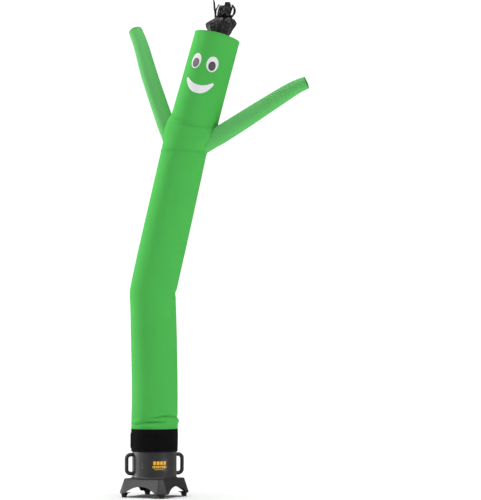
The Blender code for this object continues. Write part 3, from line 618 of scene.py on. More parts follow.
def nylon(name, colour, roughness=0.62, pitch=0.005, wrinkle=0.25):
    """Thin ripstop nylon: a fine grid of thicker threads, soft creases and slightly uneven dye."""
    material, tree, shader = node_material(name, colour, roughness, Specular_IOR_Level=0.02)
    uv = cloth_place(tree)
    cloud = noise_map(tree, uv, 5.0, Detail=3.0)
    grid = threads(tree, uv, pitch, 0.10)
    dyed = mixed_colour(tree, cloud, shade(colour, 0.93), shade(colour, 1.07))
    paint(tree, shader, math_node(tree, "MULTIPLY", grid, 0.5), dyed, shade(colour, 1.16))
    fine = noise_map(tree, uv, 26.0, Detail=4.0, Roughness=0.55)
    creased = bump(tree, shader, fine, wrinkle, 0.004)
    bump(tree, shader, grid, 0.20, 0.0004, creased)
    vary_roughness(tree, shader, cloud, roughness - 0.06, roughness + 0.06)
    return material


def applique(name, colour, rim_colour, rim_start):
    """A plain patch with a satin-stitched rim; UV y runs from 0 at the middle to 1 at the edge."""
    material, tree, shader = node_material(name, colour, 0.6, Specular_IOR_Level=0.25)
    split = add_node(tree, "SeparateXYZ", {"Vector": cloth_place(tree)})
    rim = math_node(tree, "GREATER_THAN", split.outputs["Y"], rim_start)
    cloud = noise_map(tree, object_place(tree), 30.0, Detail=3.0)
    cloth = mixed_colour(tree, cloud, shade(colour, 0.95), shade(colour, 1.05))
    paint(tree, shader, rim, cloth, rim_colour)
    satin = math_node(tree, "SINE", math_node(tree, "MULTIPLY", split.outputs["X"], 4200.0))
    stitches = math_node(tree, "MULTIPLY", satin, rim)
    weave = noise_map(tree, object_place(tree), 900.0)
    woven = bump(tree, shader, weave, 0.15, 0.0004)
    bump(tree, shader, stitches, 0.5, 0.0005, woven)
    return material


def hair_cloth(name, colour):
    """Black nylon, crumpled hard."""
    material, tree, shader = node_material(name, colour, 0.38, Specular_IOR_Level=0.22)
    place = object_place(tree)
    crumple = add_node(tree, "TexVoronoi", {"Vector": place, "Scale": 55.0}, feature="SMOOTH_F1").outputs[0]
    fine = noise_map(tree, place, 90.0, Detail=5.0)
    creased = bump(tree, shader, crumple, 0.55, 0.006)
    bump(tree, shader, fine, 0.35, 0.002, creased)
    paint(tree, shader, fine, shade(colour, 0.55), shade(colour, 1.6))
    return material


def brushed_strap(name, colour):
    """Matt black fastening fabric with a short, uneven nap."""
    material, tree, shader = node_material(
        name, colour, 0.95, Specular_IOR_Level=0.03, Sheen_Weight=0.01, Sheen_Roughness=0.6
    )
    uv = cloth_place(tree)
    nap = noise_map(tree, uv, 700.0, Detail=3.0)
    patchy = noise_map(tree, uv, 14.0, Detail=3.0)
    paint(tree, shader, patchy, shade(colour, 0.8), shade(colour, 1.7))
    soft = bump(tree, shader, patchy, 0.3, 0.002)
    bump(tree, shader, nap, 0.6, 0.0008, soft)
    return material


def pebbled_plastic(name, colour, grain=420.0):
    """Moulded plastic with a pebbled skin, pale specks and patches of slightly different tone and gloss."""
    material, tree, shader = node_material(name, colour, 0.48, Specular_IOR_Level=0.30)
    place = object_place(tree)
    pebble = add_node(tree, "TexVoronoi", {"Vector": place, "Scale": grain}, feature="SMOOTH_F1").outputs[0]
    speck = noise_map(tree, place, 650.0, Detail=2.0)
    cloud = noise_map(tree, place, 6.0, Detail=3.0)
    pale = math_node(tree, "GREATER_THAN", speck, 0.66)
    base = mixed_colour(tree, cloud, shade(colour, 0.9), shade(colour, 1.12))
    paint(tree, shader, math_node(tree, "MULTIPLY", pale, 0.35), base, (0.20, 0.20, 0.20))
    bump(tree, shader, pebble, 0.35, 0.0008)
    vary_roughness(tree, shader, cloud, 0.42, 0.56)
    return material


def moulded_rubber(name, colour):
    """Matt rubber, dusty where it meets the ground."""
    material, tree, shader = node_material(name, colour, 0.8, Specular_IOR_Level=0.3)
    place = object_place(tree)
    height = add_node(tree, "SeparateXYZ", {"Vector": place}).outputs["Z"]
    near = add_node(tree, "MapRange", {"Value": height, "From Min": 0.012, "From Max": 0.0})
    grit = noise_map(tree, place, 260.0, Detail=4.0)
    dust = math_node(tree, "MULTIPLY", near.outputs[0], grit)
    paint(tree, shader, dust, colour, (0.10, 0.09, 0.08))
    bump(tree, shader, grit, 0.25, 0.0006)
    return material


def loop_tape(name, colour):
    """The looped side of a fastening tape, ribbed lengthways."""
    material, tree, shader = node_material(name, colour, 0.9, Specular_IOR_Level=0.2)
    ribs = wave_map(tree, 110.0, 2.0, "Z")
    fuzz = noise_map(tree, object_place(tree), 900.0, Detail=2.0)
    paint(tree, shader, fuzz, shade(colour, 0.6), shade(colour, 1.6))
    soft = bump(tree, shader, fuzz, 0.5, 0.0008)
    bump(tree, shader, ribs, 0.4, 0.0008, soft)
    return material


def printed_film(name, colour, ink):
    """Glossy label film with rows of plain bars; its UV map is in metres from the middle."""
    material, tree, shader = node_material(name, colour, 0.34, Specular_IOR_Level=0.4)
    split = add_node(tree, "SeparateXYZ", {"Vector": cloth_place(tree)})
    across, up = split.outputs["X"], split.outputs["Y"]
    printed = None
    for middle, half, reach, pitch, share in (
        (0.015, 0.0125, 0.048, 0.0245, 0.78),
        (-0.012, 0.0085, 0.050, 0.0145, 0.74),
        (-0.0295, 0.0016, 0.036, 0.2, 1.0),
    ):
        away = math_node(tree, "ABSOLUTE", math_node(tree, "SUBTRACT", up, middle))
        inside = math_node(tree, "LESS_THAN", away, half)
        near = math_node(tree, "LESS_THAN", math_node(tree, "ABSOLUTE", across), reach)
        turns = math_node(tree, "MULTIPLY", math_node(tree, "ADD", across, 1.0), 1.0 / pitch)
        bars = math_node(tree, "LESS_THAN", math_node(tree, "FRACT", turns), share)
        line = math_node(tree, "MULTIPLY", math_node(tree, "MULTIPLY", inside, near), bars)
        printed = line if printed is None else math_node(tree, "MAXIMUM", printed, line)
    scuff = noise_map(tree, object_place(tree), 140.0, Detail=5.0)
    kept = add_node(tree, "MapRange", {"Value": scuff, "From Min": 0.30, "From Max": 0.42})
    worn = math_node(tree, "MULTIPLY", printed, kept.outputs[0])
    paint(tree, shader, worn, colour, ink)
    vary_roughness(tree, shader, scuff, 0.26, 0.46)
    bump(tree, shader, printed, 0.3, 0.0002)
    return material


def sewing_thread(name, colour):
    """Twisted sewing thread."""
    material, tree, shader = node_material(name, colour, 0.6, Specular_IOR_Level=0.2)
    twist = wave_map(tree, 500.0, 1.0, "DIAGONAL")
    paint(tree, shader, twist, shade(colour, 0.7), shade(colour, 1.2))
    bump(tree, shader, twist, 0.4, 0.0002)
    return material


def plated_steel(name, colour):
    """Dark plated screw heads with fine turned scratches."""
    material, tree, shader = node_material(name, colour, 0.35, Metallic=1.0)
    scratch = noise_map(tree, object_place(tree), 1500.0)
    vary_roughness(tree, shader, scratch, 0.28, 0.5)
    return material


# Sizes and colours that a user would change

def colour_property(name, description, default):
    """A colour in a panel."""
    return bpy.props.FloatVectorProperty(
        name=name, description=description, default=default, subtype="COLOR", min=0.0, max=1.0
    )


def strength_property(name, description, default):
    """A light's strength in a panel."""
    return bpy.props.FloatProperty(name=name, description=description, default=default, min=0.0)


class ClothSettings(bpy.types.PropertyGroup):
    thickness: bpy.props.FloatProperty(
        name="Cloth thickness", description="Thickness of the shown nylon", default=0.0008,
        min=0.0002, max=0.003, unit="LENGTH",
    )
    colour: colour_property("Nylon", "Colour of the tubes", (0.080, 0.475, 0.087))
    hair: colour_property("Hair", "Colour of the hair cloth", (0.0048, 0.0048, 0.0052))
    patch: colour_property("Patches", "Colour of the eyes and the smile", (0.86, 0.83, 0.88))
    cuff: colour_property("Cuff", "Colour of the fastening cuff", (0.0038, 0.0038, 0.0044))


class BlowerSettings(bpy.types.PropertyGroup):
    colour: colour_property("Housing", "Colour of the moulded housing", (0.013, 0.013, 0.0135))


class StageSettings(bpy.types.PropertyGroup):
    key: strength_property("Left light", "Strength of the light from the left", 3.3)
    fill: strength_property("Right light", "Strength of the light from the right", 1.0)
    top: strength_property("Top light", "Strength of the soft light from above", 3.0)
    gloss: strength_property("Gloss light", "Strength of the light that only shines on smooth plastic", 2.9)
    sky: strength_property("Surroundings", "Strength of the even light all round", 0.25)


# Stage

EYE = Vector((0.6138, -12.5, 0.90))
PITCH = math.radians(3.935)
LENS = 125.44


class StageOperator(bpy.types.Operator):
    """Pale floor, soft studio light and the camera at the photograph's angle"""

    bl_idname = "air_dancer.stage"
    bl_label = "Stage"

    def execute(self, context):
        settings = context.scene.air_dancer_stage
        start_clean()
        bpy.ops.mesh.primitive_plane_add(size=90.0, location=(0, 0, -0.0002))
        floor = context.object
        floor.name = "studio_floor"
        settle(floor)
        material = node_material("pale_floor", (0.905, 0.905, 0.905), 0.9, Specular_IOR_Level=0.1)[0]
        floor.data.materials.append(material)

        for name, strength, spread, azimuth, height in (
            ("key_light", settings.key, 14.0, -112.0, 0.5),
            ("fill_light", settings.fill, 22.0, 58.0, 1.0),
            ("top_light", settings.top, 50.0, 0.0, 90.0),
            ("gloss_light_left", settings.gloss, 40.0, -61.0, 30.0),
            ("gloss_light_front", settings.gloss * 0.6, 30.0, 31.0, 35.0),
        ):
            bpy.ops.object.light_add(type="SUN")
            light = context.object
            light.name = name
            light.data.energy = strength
            light.data.angle = math.radians(spread)
            light.visible_diffuse = not name.startswith("gloss_light")
            turn, rise = math.radians(azimuth), math.radians(height)
            towards = Vector(
                (math.sin(turn) * math.cos(rise), -math.cos(turn) * math.cos(rise), math.sin(rise))
            )
            light.rotation_euler = towards.to_track_quat("Z", "Y").to_euler()

        world = bpy.data.worlds.new("white_surroundings")
        context.scene.world = world
        world.use_nodes = True
        tree = world.node_tree
        background = tree.nodes["Background"]
        background.inputs["Color"].default_value = (1.0, 1.0, 1.0, 1.0)
        background.inputs["Strength"].default_value = settings.sky
        bright = add_node(tree, "Background", {"Color": (1.0, 1.0, 1.0, 1.0), "Strength": 1.1})
        path = add_node(tree, "LightPath")
        chosen = add_node(tree, "MixShader", {0: path.outputs["Is Camera Ray"]})
        tree.links.new(background.outputs[0], chosen.inputs[1])
        tree.links.new(bright.outputs[0], chosen.inputs[2])
        tree.links.new(chosen.outputs[0], tree.nodes["World Output"].inputs["Surface"])

        bpy.ops.object.camera_add(location=AXIS + EYE, rotation=(math.pi / 2 + PITCH, 0.0, 0.0))
        camera = context.object
        camera.data.lens = LENS
        camera.data.sensor_width = 36.0
        camera.data.clip_end = 200.0
        context.scene.camera = camera
        context.scene.view_settings.view_transform = "Standard"
        return {"FINISHED"}


# Trunk

TUBE_AROUND = 2 * math.pi * TUBE_RADIUS
TUBE_COLUMNS = 120
JOIN_GAP = 0.0002
SEAM_WIDTH = 0.012
SEAM_PROUD = 0.0012
SEAM_STITCH = 0.0042
BODY_HEM = 0.010
CROWN_HEM = 0.007
ROW_END = 0.01
BACK_STITCH = 0.009
GREEN_THREAD = (0.045, 0.340, 0.050)


def trunk_skin(table, swell, across, height, proud=0.0):
    """A point on a trunk tube's cloth, at a share of the way round it and a height."""
    azimuth = round_angle(across)
    return on_section(table, height, azimuth, swell(height, azimuth) + proud)


def tube_length(table, low, high):
    """Length of a trunk tube between two heights."""
    return (section_frame(table, high)[0] - section_frame(table, low)[0]).length


def trunk_tube(name, table, low, high, rows, crowd, swell):
    """One sewn tube, rolled from a flat rectangle with its seam at the back.

    crowd draws its rows of points towards both ends, where the folds are.
    """

    def crowded(up):
        return up - crowd * math.sin(2 * math.pi * up)

    def place(across, up):
        return trunk_skin(table, swell, across, low + (high - low) * crowded(up))

    length = tube_length(table, low, high)
    piece = cloth_grid(name, TUBE_COLUMNS, rows, (TUBE_AROUND, length), place)
    for corner in piece.data.uv_layers.active.data:
        corner.uv.y = length * crowded(corner.uv.y / length)
    return piece


def tube_swell(height, azimuth):
    """Relief of the body tube: folds, slack, and gathers under the waist seam."""
    held = clamp((height - CUFF_TOP - 0.006) / 0.02)
    near = clamp((WAIST.height - height) / 0.05)
    relief = -fold_depth(TUBE_FOLDS, height, azimuth) + slack(azimuth, height, 0.0020 * near, 0.0)
    relief += puckers(azimuth, height - CUFF_TOP - 0.03, 21, 0.0016, 3.0)
    relief += puckers(azimuth, WAIST.height - height, 24, 0.0007, 5.0)
    return relief * held + back_seam(azimuth) * held


def torso_swell(height, azimuth):
    """Relief of the torso: pulled out by the sleeves, creased under the neck."""
    relief = shoulder_bulge(height, azimuth) - fold_depth(TORSO_FOLDS, height, azimuth)
    relief += puckers(azimuth, height - WAIST.height, 24, 0.0007, 5.0)
    relief += puckers(azimuth, NECK.height - height, 26, 0.0008, 8.0)
    return relief + back_seam(azimuth)


def head_swell(height, azimuth):
    """Relief of the head tube."""
    near = clamp((height - NECK.height) / 0.05)
    relief = -fold_depth(HEAD_FOLDS, height, azimuth) + slack(azimuth, height, 0.0016 * near, 7.0)
    relief += puckers(azimuth, height - NECK.height, 26, 0.0008, 8.0)
    relief += puckers(azimuth, CROWN.height - height, 30, 0.0005, 9.0)
    return relief + back_seam(azimuth)


class TrunkOperator(bpy.types.Operator):
    """Body tube, torso and head, three tubes of nylon sewn end to end"""

    bl_idname = "air_dancer.trunk"
    bl_label = "Trunk"

    def execute(self, context):
        cloth = context.scene.air_dancer_cloth
        green = nylon("green_nylon", cloth.colour)
        for name, node, held, table, swell, low, high, rows, crowd in (
            (
                "body_cloth", "body_tube", "cuff_cloth", TUBE, tube_swell,
                TUBE_BOTTOM, WAIST.height - JOIN_GAP, 320, 0.09,
            ),
            (
                "torso_cloth", "torso", "body_cloth", TORSO, torso_swell,
                WAIST.height + JOIN_GAP, NECK.height - JOIN_GAP, 60, 0.0,
            ),
            (
                "head_cloth", "head", "torso_cloth", HEAD, head_swell,
                NECK.height + JOIN_GAP, CROWN.height, 110, 0.0,
            ),
        ):
            piece = trunk_tube(name, table, low, high, rows, crowd, swell)
            wall(piece, cloth.thickness)
            finish_piece(piece, green, (node,), smooth=80.0)
            length = tube_length(table, low, high)
        self.seams(green, cloth.thickness)
        return {"FINISHED"}

    def seams(self, green, thickness):
        """Felled seams at the waist and the neck, and the stitching of every trunk seam."""
        thread = sewing_thread("green_thread", GREEN_THREAD)
        parts = {
            "body": (TUBE, tube_swell, CUFF_TOP + 2 * ROW_END, WAIST.height - ROW_END),
            "torso": (TORSO, torso_swell, WAIST.height + ROW_END, NECK.height - ROW_END),
            "head": (HEAD, head_swell, NECK.height + ROW_END, CROWN.height - ROW_END),
        }
        for name, under, over, middle in (
            ("waist", "body", "torso", WAIST.height), ("neck", "torso", "head", NECK.height),
        ):

            def skin(across, height):
                table, swell = parts[under if height < middle else over][:2]
                return trunk_skin(table, swell, across, height, SEAM_PROUD)

            band = cloth_grid(
                f"{name}_seam", TUBE_COLUMNS, 6, (TUBE_AROUND, SEAM_WIDTH),
                lambda across, up: skin(across, middle + (up - 0.5) * SEAM_WIDTH),
            )
            wall(band, thickness)
            finish_piece(band, green, smooth=80.0)
            for side, away in (("low", -SEAM_STITCH), ("high", SEAM_STITCH)):
                sew_round(f"{name}_stitches_{side}", skin, middle + away, TUBE_AROUND, thread)

        for name, (table, swell, low, high) in parts.items():

            def skin(across, height):
                return trunk_skin(table, swell, across, height)

            for side, away in (("left", -BACK_STITCH), ("right", BACK_STITCH)):
                across = (away / TUBE_AROUND) % 1.0
                path = [(across, low + (high - low) * share) for share in even_shares(high - low)]
                sew(f"{name}_back_stitches_{side}", skin, path, thread, upright=True)
            if name != "torso":
                hem = CUFF_TOP + BODY_HEM if name == "body" else CROWN.height - CROWN_HEM
                sew_round(f"{name}_hem_stitches", skin, hem, TUBE_AROUND, thread)


# Sleeves

def sleeve_point(table, share):
    """Centre and radius of a sleeve at a share of its length, on a smooth curve through its rows."""
    place = share * (len(table) - 1)
    index = min(int(place), len(table) - 2)
    t = place - index
    rows = [table[max(index - 1, 0)], table[index], table[index + 1], table[min(index + 2, len(table) - 1)]]
    rows = [Vector(row) for row in rows]
    curve = (
        rows[1] * 2
        + (rows[2] - rows[0]) * t
        + (rows[0] * 2 - rows[1] * 5 + rows[2] * 4 - rows[3]) * t**2
        + (rows[1] * 3 - rows[0] - rows[2] * 3 + rows[3]) * t**3
    ) / 2
    return AXIS + curve.xyz, curve.w


def sleeve_surface(table, share, azimuth, proud=0.0):
    """A point on a sleeve at a share of its length and an angle round it."""
    centre, radius = sleeve_point(table, share)
    ahead, _ = sleeve_point(table, min(share + 0.01, 1.0))
    behind, _ = sleeve_point(table, max(share - 0.01, 0.0))
    along = (ahead - behind).normalized()
    back = (Vector((0, 1, 0)) - along * along.y).normalized()
    side = back.cross(along)
    radius += proud
    return circle_point(centre, side, back, radius, azimuth)


def outer_tree():
    """Search tree of the trunk's outer surface, for the sleeves to stand on."""
    points, faces = [], []
    columns = 96
    stack = [(TUBE, 2.30 + 0.169 * i / 12, tube_swell) for i in range(12)]
    stack += [(TORSO, WAIST.height + (NECK.height - WAIST.height) * i / 40, torso_swell) for i in range(40)]
    stack += [(HEAD, NECK.height + 0.30 * i / 20, head_swell) for i in range(21)]
    for table, height, swell in stack:
        for column in range(columns):
            azimuth = 2 * math.pi * column / columns - math.pi
            points.append(on_section(table, height, azimuth, swell(height, azimuth)))
    for row in range(len(stack) - 1):
        low, high = row * columns, (row + 1) * columns
        for column in range(columns):
            right = (column + 1) % columns
            faces.append((low + column, low + right, high + right, high + column))
    return BVHTree.FromPolygons(points, faces)


def root_share(tree, table, azimuth):
    """The share of a sleeve's length at which it leaves the torso, at one angle round it."""
    steps, first = 90, 0.75
    outer = sleeve_surface(table, first, azimuth)
    for step in range(steps - 1, -1, -1):
        share = first * step / steps
        inner = sleeve_surface(table, share, azimuth)
        reach = (inner - outer).length
        hit = tree.ray_cast(outer, (inner - outer).normalized(), reach)[0]
        if hit is not None:
            return share + first / steps * (1.0 - (hit - outer).length / reach)
        outer = inner
    return 0.0


SLEEVE_COLUMNS = 56
SLEEVE_ROWS = 110


def make_sleeve(name, node, table, seed, tree, cloth, green):
    """A tapering sleeve whose root spreads onto the torso."""
    roots = [root_share(tree, table, round_angle(i / SLEEVE_COLUMNS)) for i in range(SLEEVE_COLUMNS + 1)]
    whole = sum(
        (sleeve_point(table, (i + 1) / 40)[0] - sleeve_point(table, i / 40)[0]).length for i in range(40)
    )

    def place(across, up):
        azimuth = round_angle(across)
        spot = (across % 1.0 or across) * SLEEVE_COLUMNS
        near = min(int(spot), SLEEVE_COLUMNS - 1)
        start = roots[near] + (roots[near + 1] - roots[near]) * (spot - near)
        share = start + (1.0 - start) * max(up, 0.0) ** 1.15
        away = (share - start) * whole
        proud = 0.0010 * noise_round(azimuth, 1.5, share * 9 + seed)
        proud += puckers(azimuth, away, 13, 0.0012, seed)
        proud += puckers(azimuth, (1.0 - share) * whole, 11, 0.0007, seed + 2)
        proud -= 0.0016 * bell((math.pi - abs(azimuth)) * 0.06, 0.004)
        return sleeve_surface(table, share, azimuth, proud)

    length = (1.0 - sum(roots) / len(roots)) * whole
    around = 2 * math.pi * sum(row.radius for row in table[2:]) / len(table[2:])
    piece = cloth_grid(name, SLEEVE_COLUMNS, SLEEVE_ROWS, (around, length), place)
    wall(piece, cloth.thickness)
    finish_piece(piece, green, (node,), smooth=80.0)
    thread = bpy.data.materials["green_thread"]
    for seam, up, radius in (("root", 0.020, table[2].radius), ("hand", 0.984, table[-1].radius)):
        sew_round(f"{name}_{seam}_stitches", place, up, 2 * math.pi * radius, thread)
    for side, away in (("left", 0.035), ("right", 0.965)):
        path = [(away, 0.03 + 0.95 * share) for share in even_shares(length * 0.95)]
        sew(f"{name}_back_stitches_{side}", place, path, thread, upright=True)
    return piece


class SleevesOperator(bpy.types.Operator):
    """Two sleeves sewn to the torso, open at the hands"""

    bl_idname = "air_dancer.sleeves"
    bl_label = "Sleeves"

    def execute(self, context):
        cloth = context.scene.air_dancer_cloth
        green = bpy.data.materials["green_nylon"]
        tree = outer_tree()
        for name, node, table, seed in (
            ("sleeve_cloth_left", "arm_left", SLEEVE_LEFT, 11.0),
            ("sleeve_cloth_right", "arm_right", SLEEVE_RIGHT, 17.0),
        ):
            make_sleeve(name, node, table, seed, tree, cloth, green)
        return {"FINISHED"}


# Crown panel and hair

def crown_frame():
    """Centre and directions of the head's top rim."""
    return section_frame(HEAD, CROWN.height)


class CrownOperator(bpy.types.Operator):
    """Slightly domed top panel with the air hole in its middle"""

    bl_idname = "air_dancer.crown"
    bl_label = "Crown panel"

    def execute(self, context):
        cloth = context.scene.air_dancer_cloth
        centre, side, back, up = crown_frame()
        edge = CROWN.radius

        def place(across, inwards):
            azimuth = round_angle(across)
            radius = edge + (HOLE_RADIUS - edge) * inwards
            rise = 0.0012 + DOME_RISE * math.sin(inwards * math.pi / 2)
            rise += puckers(azimuth, inwards * 0.08, 30, 0.0008, 9.0)
            rise += puckers(azimuth, (1 - inwards) * 0.08, 19, 0.0014, 12.0)
            radius += 0.0006 * math.cos(30 * azimuth) * (1 - inwards)
            return circle_point(centre, side, back, radius, azimuth) + up * rise

        piece = cloth_grid("crown_cloth", 120, 24, (0.331, 0.331), place)
        wall(piece, cloth.thickness)
        finish_piece(piece, bpy.data.materials["green_nylon"], ("head_top",), smooth=80.0)
        thread = bpy.data.materials["green_thread"]
        for seam, inwards, radius in (("rim", 0.06, edge), ("hole", 0.93, HOLE_RADIUS)):
            sew_round(f"crown_{seam}_stitches", place, inwards, 2 * math.pi * radius, thread)
        return {"FINISHED"}


def hair_point(side, depth, height):
    """A point of the hair, from its side, depth and height over the crown's rim."""
    centre, across, back, up = crown_frame()
    upright = clamp((height - HAIR_START) / HAIR_SETTLE)
    across = across.lerp(Vector((1, 0, 0)), upright)
    axis = Vector((math.tan(math.radians(CROWN.lean)), 0, 1)).lerp(up, 1 - upright)
    return centre + across * side + back * depth + axis * height


def hair_round(shift, radius, azimuth, height):
    """A point of the hair at a radius and an azimuth, moved to the side by a shift."""
    return hair_point(shift + radius * math.sin(azimuth), -radius * math.cos(azimuth), height)


class HairOperator(bpy.types.Operator):
    """Gathered black ring on the crown, its knot and the streamers above it"""

    bl_idname = "air_dancer.hair"
    bl_label = "Hair"

    def execute(self, context):
        cloth = context.scene.air_dancer_cloth
        black = hair_cloth("black_hair_nylon", cloth.hair)

        def ring(across, up):
            azimuth = round_angle(across)
            height = COLLAR[0].height + (COLLAR[-1].height - COLLAR[0].height) * up
            pleat = blend(COLLAR, height, "pleat")
            wave = math.cos(PLEATS * azimuth + 12.0 * (height - 0.08))
            wave += 0.35 * math.cos(19 * azimuth + 40.0 * height)
            radius = blend(COLLAR, height, "radius") + pleat * wave * (0.65 + 0.45 * math.sin(azimuth) ** 4)
            left, right = bell(math.degrees(azimuth) + 88.0, 16.0), bell(math.degrees(azimuth) - 84.0, 30.0)
            lobe = 0.008 * left * bell(height - 0.100, 0.012)
            radius += lobe + 0.010 * right * bell(height - 0.090, 0.030)
            free = clamp((height - 0.02) / 0.02)
            radius += 0.004 * free * noise_round(azimuth, 5.0, height * 60)
            shift = KNOT_SHIFT * clamp((height - 0.08) / 0.05)
            return hair_round(shift, radius, azimuth, height)

        collar = cloth_grid("hair_ring", 160, 44, (0.62, 0.15), ring)
        wall(collar, cloth.thickness)
        finish_piece(collar, black, ("hair_collar",), smooth=50.0)

        start_clean()
        bpy.ops.mesh.primitive_uv_sphere_add(segments=48, ring_count=24, radius=1.0)
        knot = named("hair_knot")
        for point in knot.data.vertices:
            azimuth = math.atan2(point.co.x, -point.co.y)
            out = math.hypot(point.co.x, point.co.y) ** 0.7
            crumple = 1.0 + 0.10 * math.cos(5 * azimuth + 2 * point.co.z)
            crumple += 0.22 * noise.noise(point.co * 3.1)
            radius = KNOT_RADIUS * out * crumple
            height = (KNOT[0] + KNOT[1]) / 2 + (KNOT[1] - KNOT[0]) / 2 * point.co.z
            height += 0.004 * noise.noise(point.co * 4.0 + Vector((3, 0, 0)))
            point.co = hair_round(KNOT_SHIFT, radius, azimuth, height)
        finish_piece(knot, black, ("hair",), smooth=50.0)

        for number, row in enumerate(STREAMERS, start=1):
            self.streamer(number, row, black, cloth.thickness)
        return {"FINISHED"}

    def streamer(self, number, row, black, thickness):
        """One crinkled strip from the knot to its free end."""
        root = KNOT[0] + 0.006
        turn = Matrix.Rotation(math.radians(row.turn), 3, "Z")

        def place(across, up):
            side = row.side + (row.tip_side - row.side) * up + row.bow * math.sin(up * math.pi)
            depth = row.depth + (row.tip_depth - row.depth) * up
            height = root + (row.tip_height - root) * up
            width = row.width * (0.72 + 0.28 * math.sin(min(1.0, up * 1.1) * math.pi) ** 0.5)
            local = Vector(((across - 0.5) * width, 0.0, 0.0))
            curl = 0.10 * row.width * math.cos((across - 0.5) * 5.0 + number)
            ripple = 0.0040 * noise.noise(Vector((across * 2.2 + number * 7, up * 4.5, 0.0)))
            local.y = (curl + ripple * 2) * min(1.0, up * 3)
            local = turn @ local
            sway = 0.004 * noise.noise(Vector((up * 3.0, number * 3.1, 5.0))) * up
            return hair_point(side + local.x + sway, depth + local.y, height)

        piece = cloth_grid(f"streamer_{number:02d}", 10, 36, (row.width, row.tip_height - root), place)
        wall(piece, thickness, offset=0.0)
        finish_piece(piece, black, ("hair",), smooth=50.0)


# Face

def face_point(side, drop, azimuth, proud):
    """A point on the head, at a side and a drop below the crown from a patch's own azimuth."""
    height = CROWN.height - drop * math.cos(math.radians(15.0))
    turn = azimuth + side / blend(HEAD, height, "radius")
    return on_section(HEAD, height, turn, head_swell(height, turn) + proud)


def rim_lift(edge, start, rise, fall):
    """Height of the satin-stitched rim, where edge runs from 0 at a patch's middle to 1 at its edge."""
    return RIM_HEIGHT * clamp((edge - start) / rise) * min(1.0, (1.0 - edge) / fall + 0.2)


def smile_edge(u, v):
    """How near a place of the smile is to its edge: u along and v across it, both -1 to 1."""
    return max(abs(v), 1 - (1 - abs(u)) * SMILE_HALF / SMILE_CORNER)


class FaceOperator(bpy.types.Operator):
    """Eyes, pupils and smile, sewn-on patches with satin-stitched rims"""

    bl_idname = "air_dancer.face"
    bl_label = "Face"

    def execute(self, context):
        cloth = context.scene.air_dancer_cloth
        white = applique("white_patch_nylon", cloth.patch, (0.90, 0.90, 0.90), 0.86)
        smile = applique("white_smile_nylon", cloth.patch, (0.90, 0.90, 0.90), 0.74)
        # Both pupils are the same grey cloth; the left pupil's material and rim are painted lighter, a
        # painted sheen.
        greys = (
            applique("grey_patch_nylon_painted_sheen", (0.165, 0.150, 0.155), (0.050, 0.040, 0.048), 0.84),
            applique("grey_patch_nylon", (0.078, 0.076, 0.080), (0.020, 0.017, 0.020), 0.80),
        )
        for side, degrees, size, grey in zip(("left", "right"), EYE_AZIMUTHS, EYE_SIZES, greys):
            azimuth = math.radians(degrees)
            eye = f"eye_patch_{side}"
            self.oval(
                eye, f"eye_{side}", size, EYE_DROP, azimuth, EYE_PROUD, white, "white_nylon", "head_cloth",
            )
            self.oval(
                f"pupil_patch_{side}", f"pupil_{side}", PUPIL_SIZE, PUPIL_DROP, azimuth, PUPIL_PROUD, grey,
                "grey_nylon", eye,
            )
        self.crescent(smile)
        return {"FINISHED"}

    def oval(self, name, node, size, drop, azimuth, proud, material, slot, under):
        """An oval patch, cut as rings round its middle."""

        def place(across, out):
            turn = across * 2 * math.pi
            reach = out * 0.996 + 0.004
            rim = rim_lift(out, 0.78, 0.08, 0.04)
            side = size[0] / 2 * reach * math.cos(turn)
            fall = drop + size[1] / 2 * reach * math.sin(turn)
            return face_point(side, fall, azimuth, proud + PATCH_WALL + rim)

        piece = cloth_grid(name, 72, 18, (math.pi * (size[0] + size[1]) / 2, 1.0), place)
        self.close_middle(piece)
        wall(piece, PATCH_WALL)
        finish_piece(piece, material, (node,), smooth=60.0)

    def close_middle(self, piece):
        """Fill the small hole at an oval's middle."""
        activate(piece)
        open_mesh()
        bpy.ops.mesh.remove_doubles(threshold=MERGE)
        bpy.ops.mesh.select_all(action="DESELECT")
        shape = bmesh.from_edit_mesh(piece.data)
        edges = [edge for edge in shape.edges if edge.is_boundary and edge.calc_length() < 0.0004]
        for edge in edges:
            edge.select_set(True)
        if edges:
            bpy.ops.mesh.edge_collapse()
        bpy.ops.object.mode_set(mode="OBJECT")

    def crescent(self, material):
        """The smile: wide in the middle, round at both tips."""
        azimuth = math.radians(SMILE_AZIMUTH)

        def place(along, across):
            u = 2 * along - 1
            v = 2 * across - 1
            bend = u * u
            low = SMILE_LOW_DROP - (SMILE_LOW_DROP - SMILE_TIP_DROP - SMILE_TIP) * abs(u) ** 2.5
            high = SMILE_LIP_DROP - (SMILE_LIP_DROP - SMILE_TIP_DROP + SMILE_TIP / 2) * bend
            middle = (low + high) / 2
            tip = max(0.0, (abs(u) - SMILE_ROUND) / (1 - SMILE_ROUND))
            half = max((low - high) / 2 * (1 - tip * tip) ** 0.5, 0.0009)
            side = u * (SMILE_HALF - 0.012 * (1 - v) / 2 * u * u)
            edge = smile_edge(u, v)
            rim = rim_lift(edge, 0.62, 0.1, 0.05)
            return face_point(side, middle + half * v, azimuth, SMILE_PROUD + max(0.0, rim))

        piece = cloth_grid("smile_patch", 90, 16, (SMILE_CHART, 1.0), place)
        for corner in piece.data.uv_layers.active.data:
            u = 2 * corner.uv.x / SMILE_CHART - 1
            corner.uv = (corner.uv.x, smile_edge(u, 2 * corner.uv.y - 1))
        wall(piece, PATCH_WALL)
        finish_piece(piece, material, ("smile",), smooth=60.0)


# Cuff

CuffRow = namedtuple("CuffRow", "height radius")
CUFF = (
    CuffRow(0.321, 0.1645), CuffRow(0.327, 0.1650), CuffRow(0.337, 0.1662), CuffRow(0.351, 0.1670),
    CuffRow(0.411, 0.1672), CuffRow(0.470, 0.1670), CuffRow(CUFF_TOP, 0.1667),
)
CUFF_WALL = 0.0022
STRAP_WALL = 0.0012


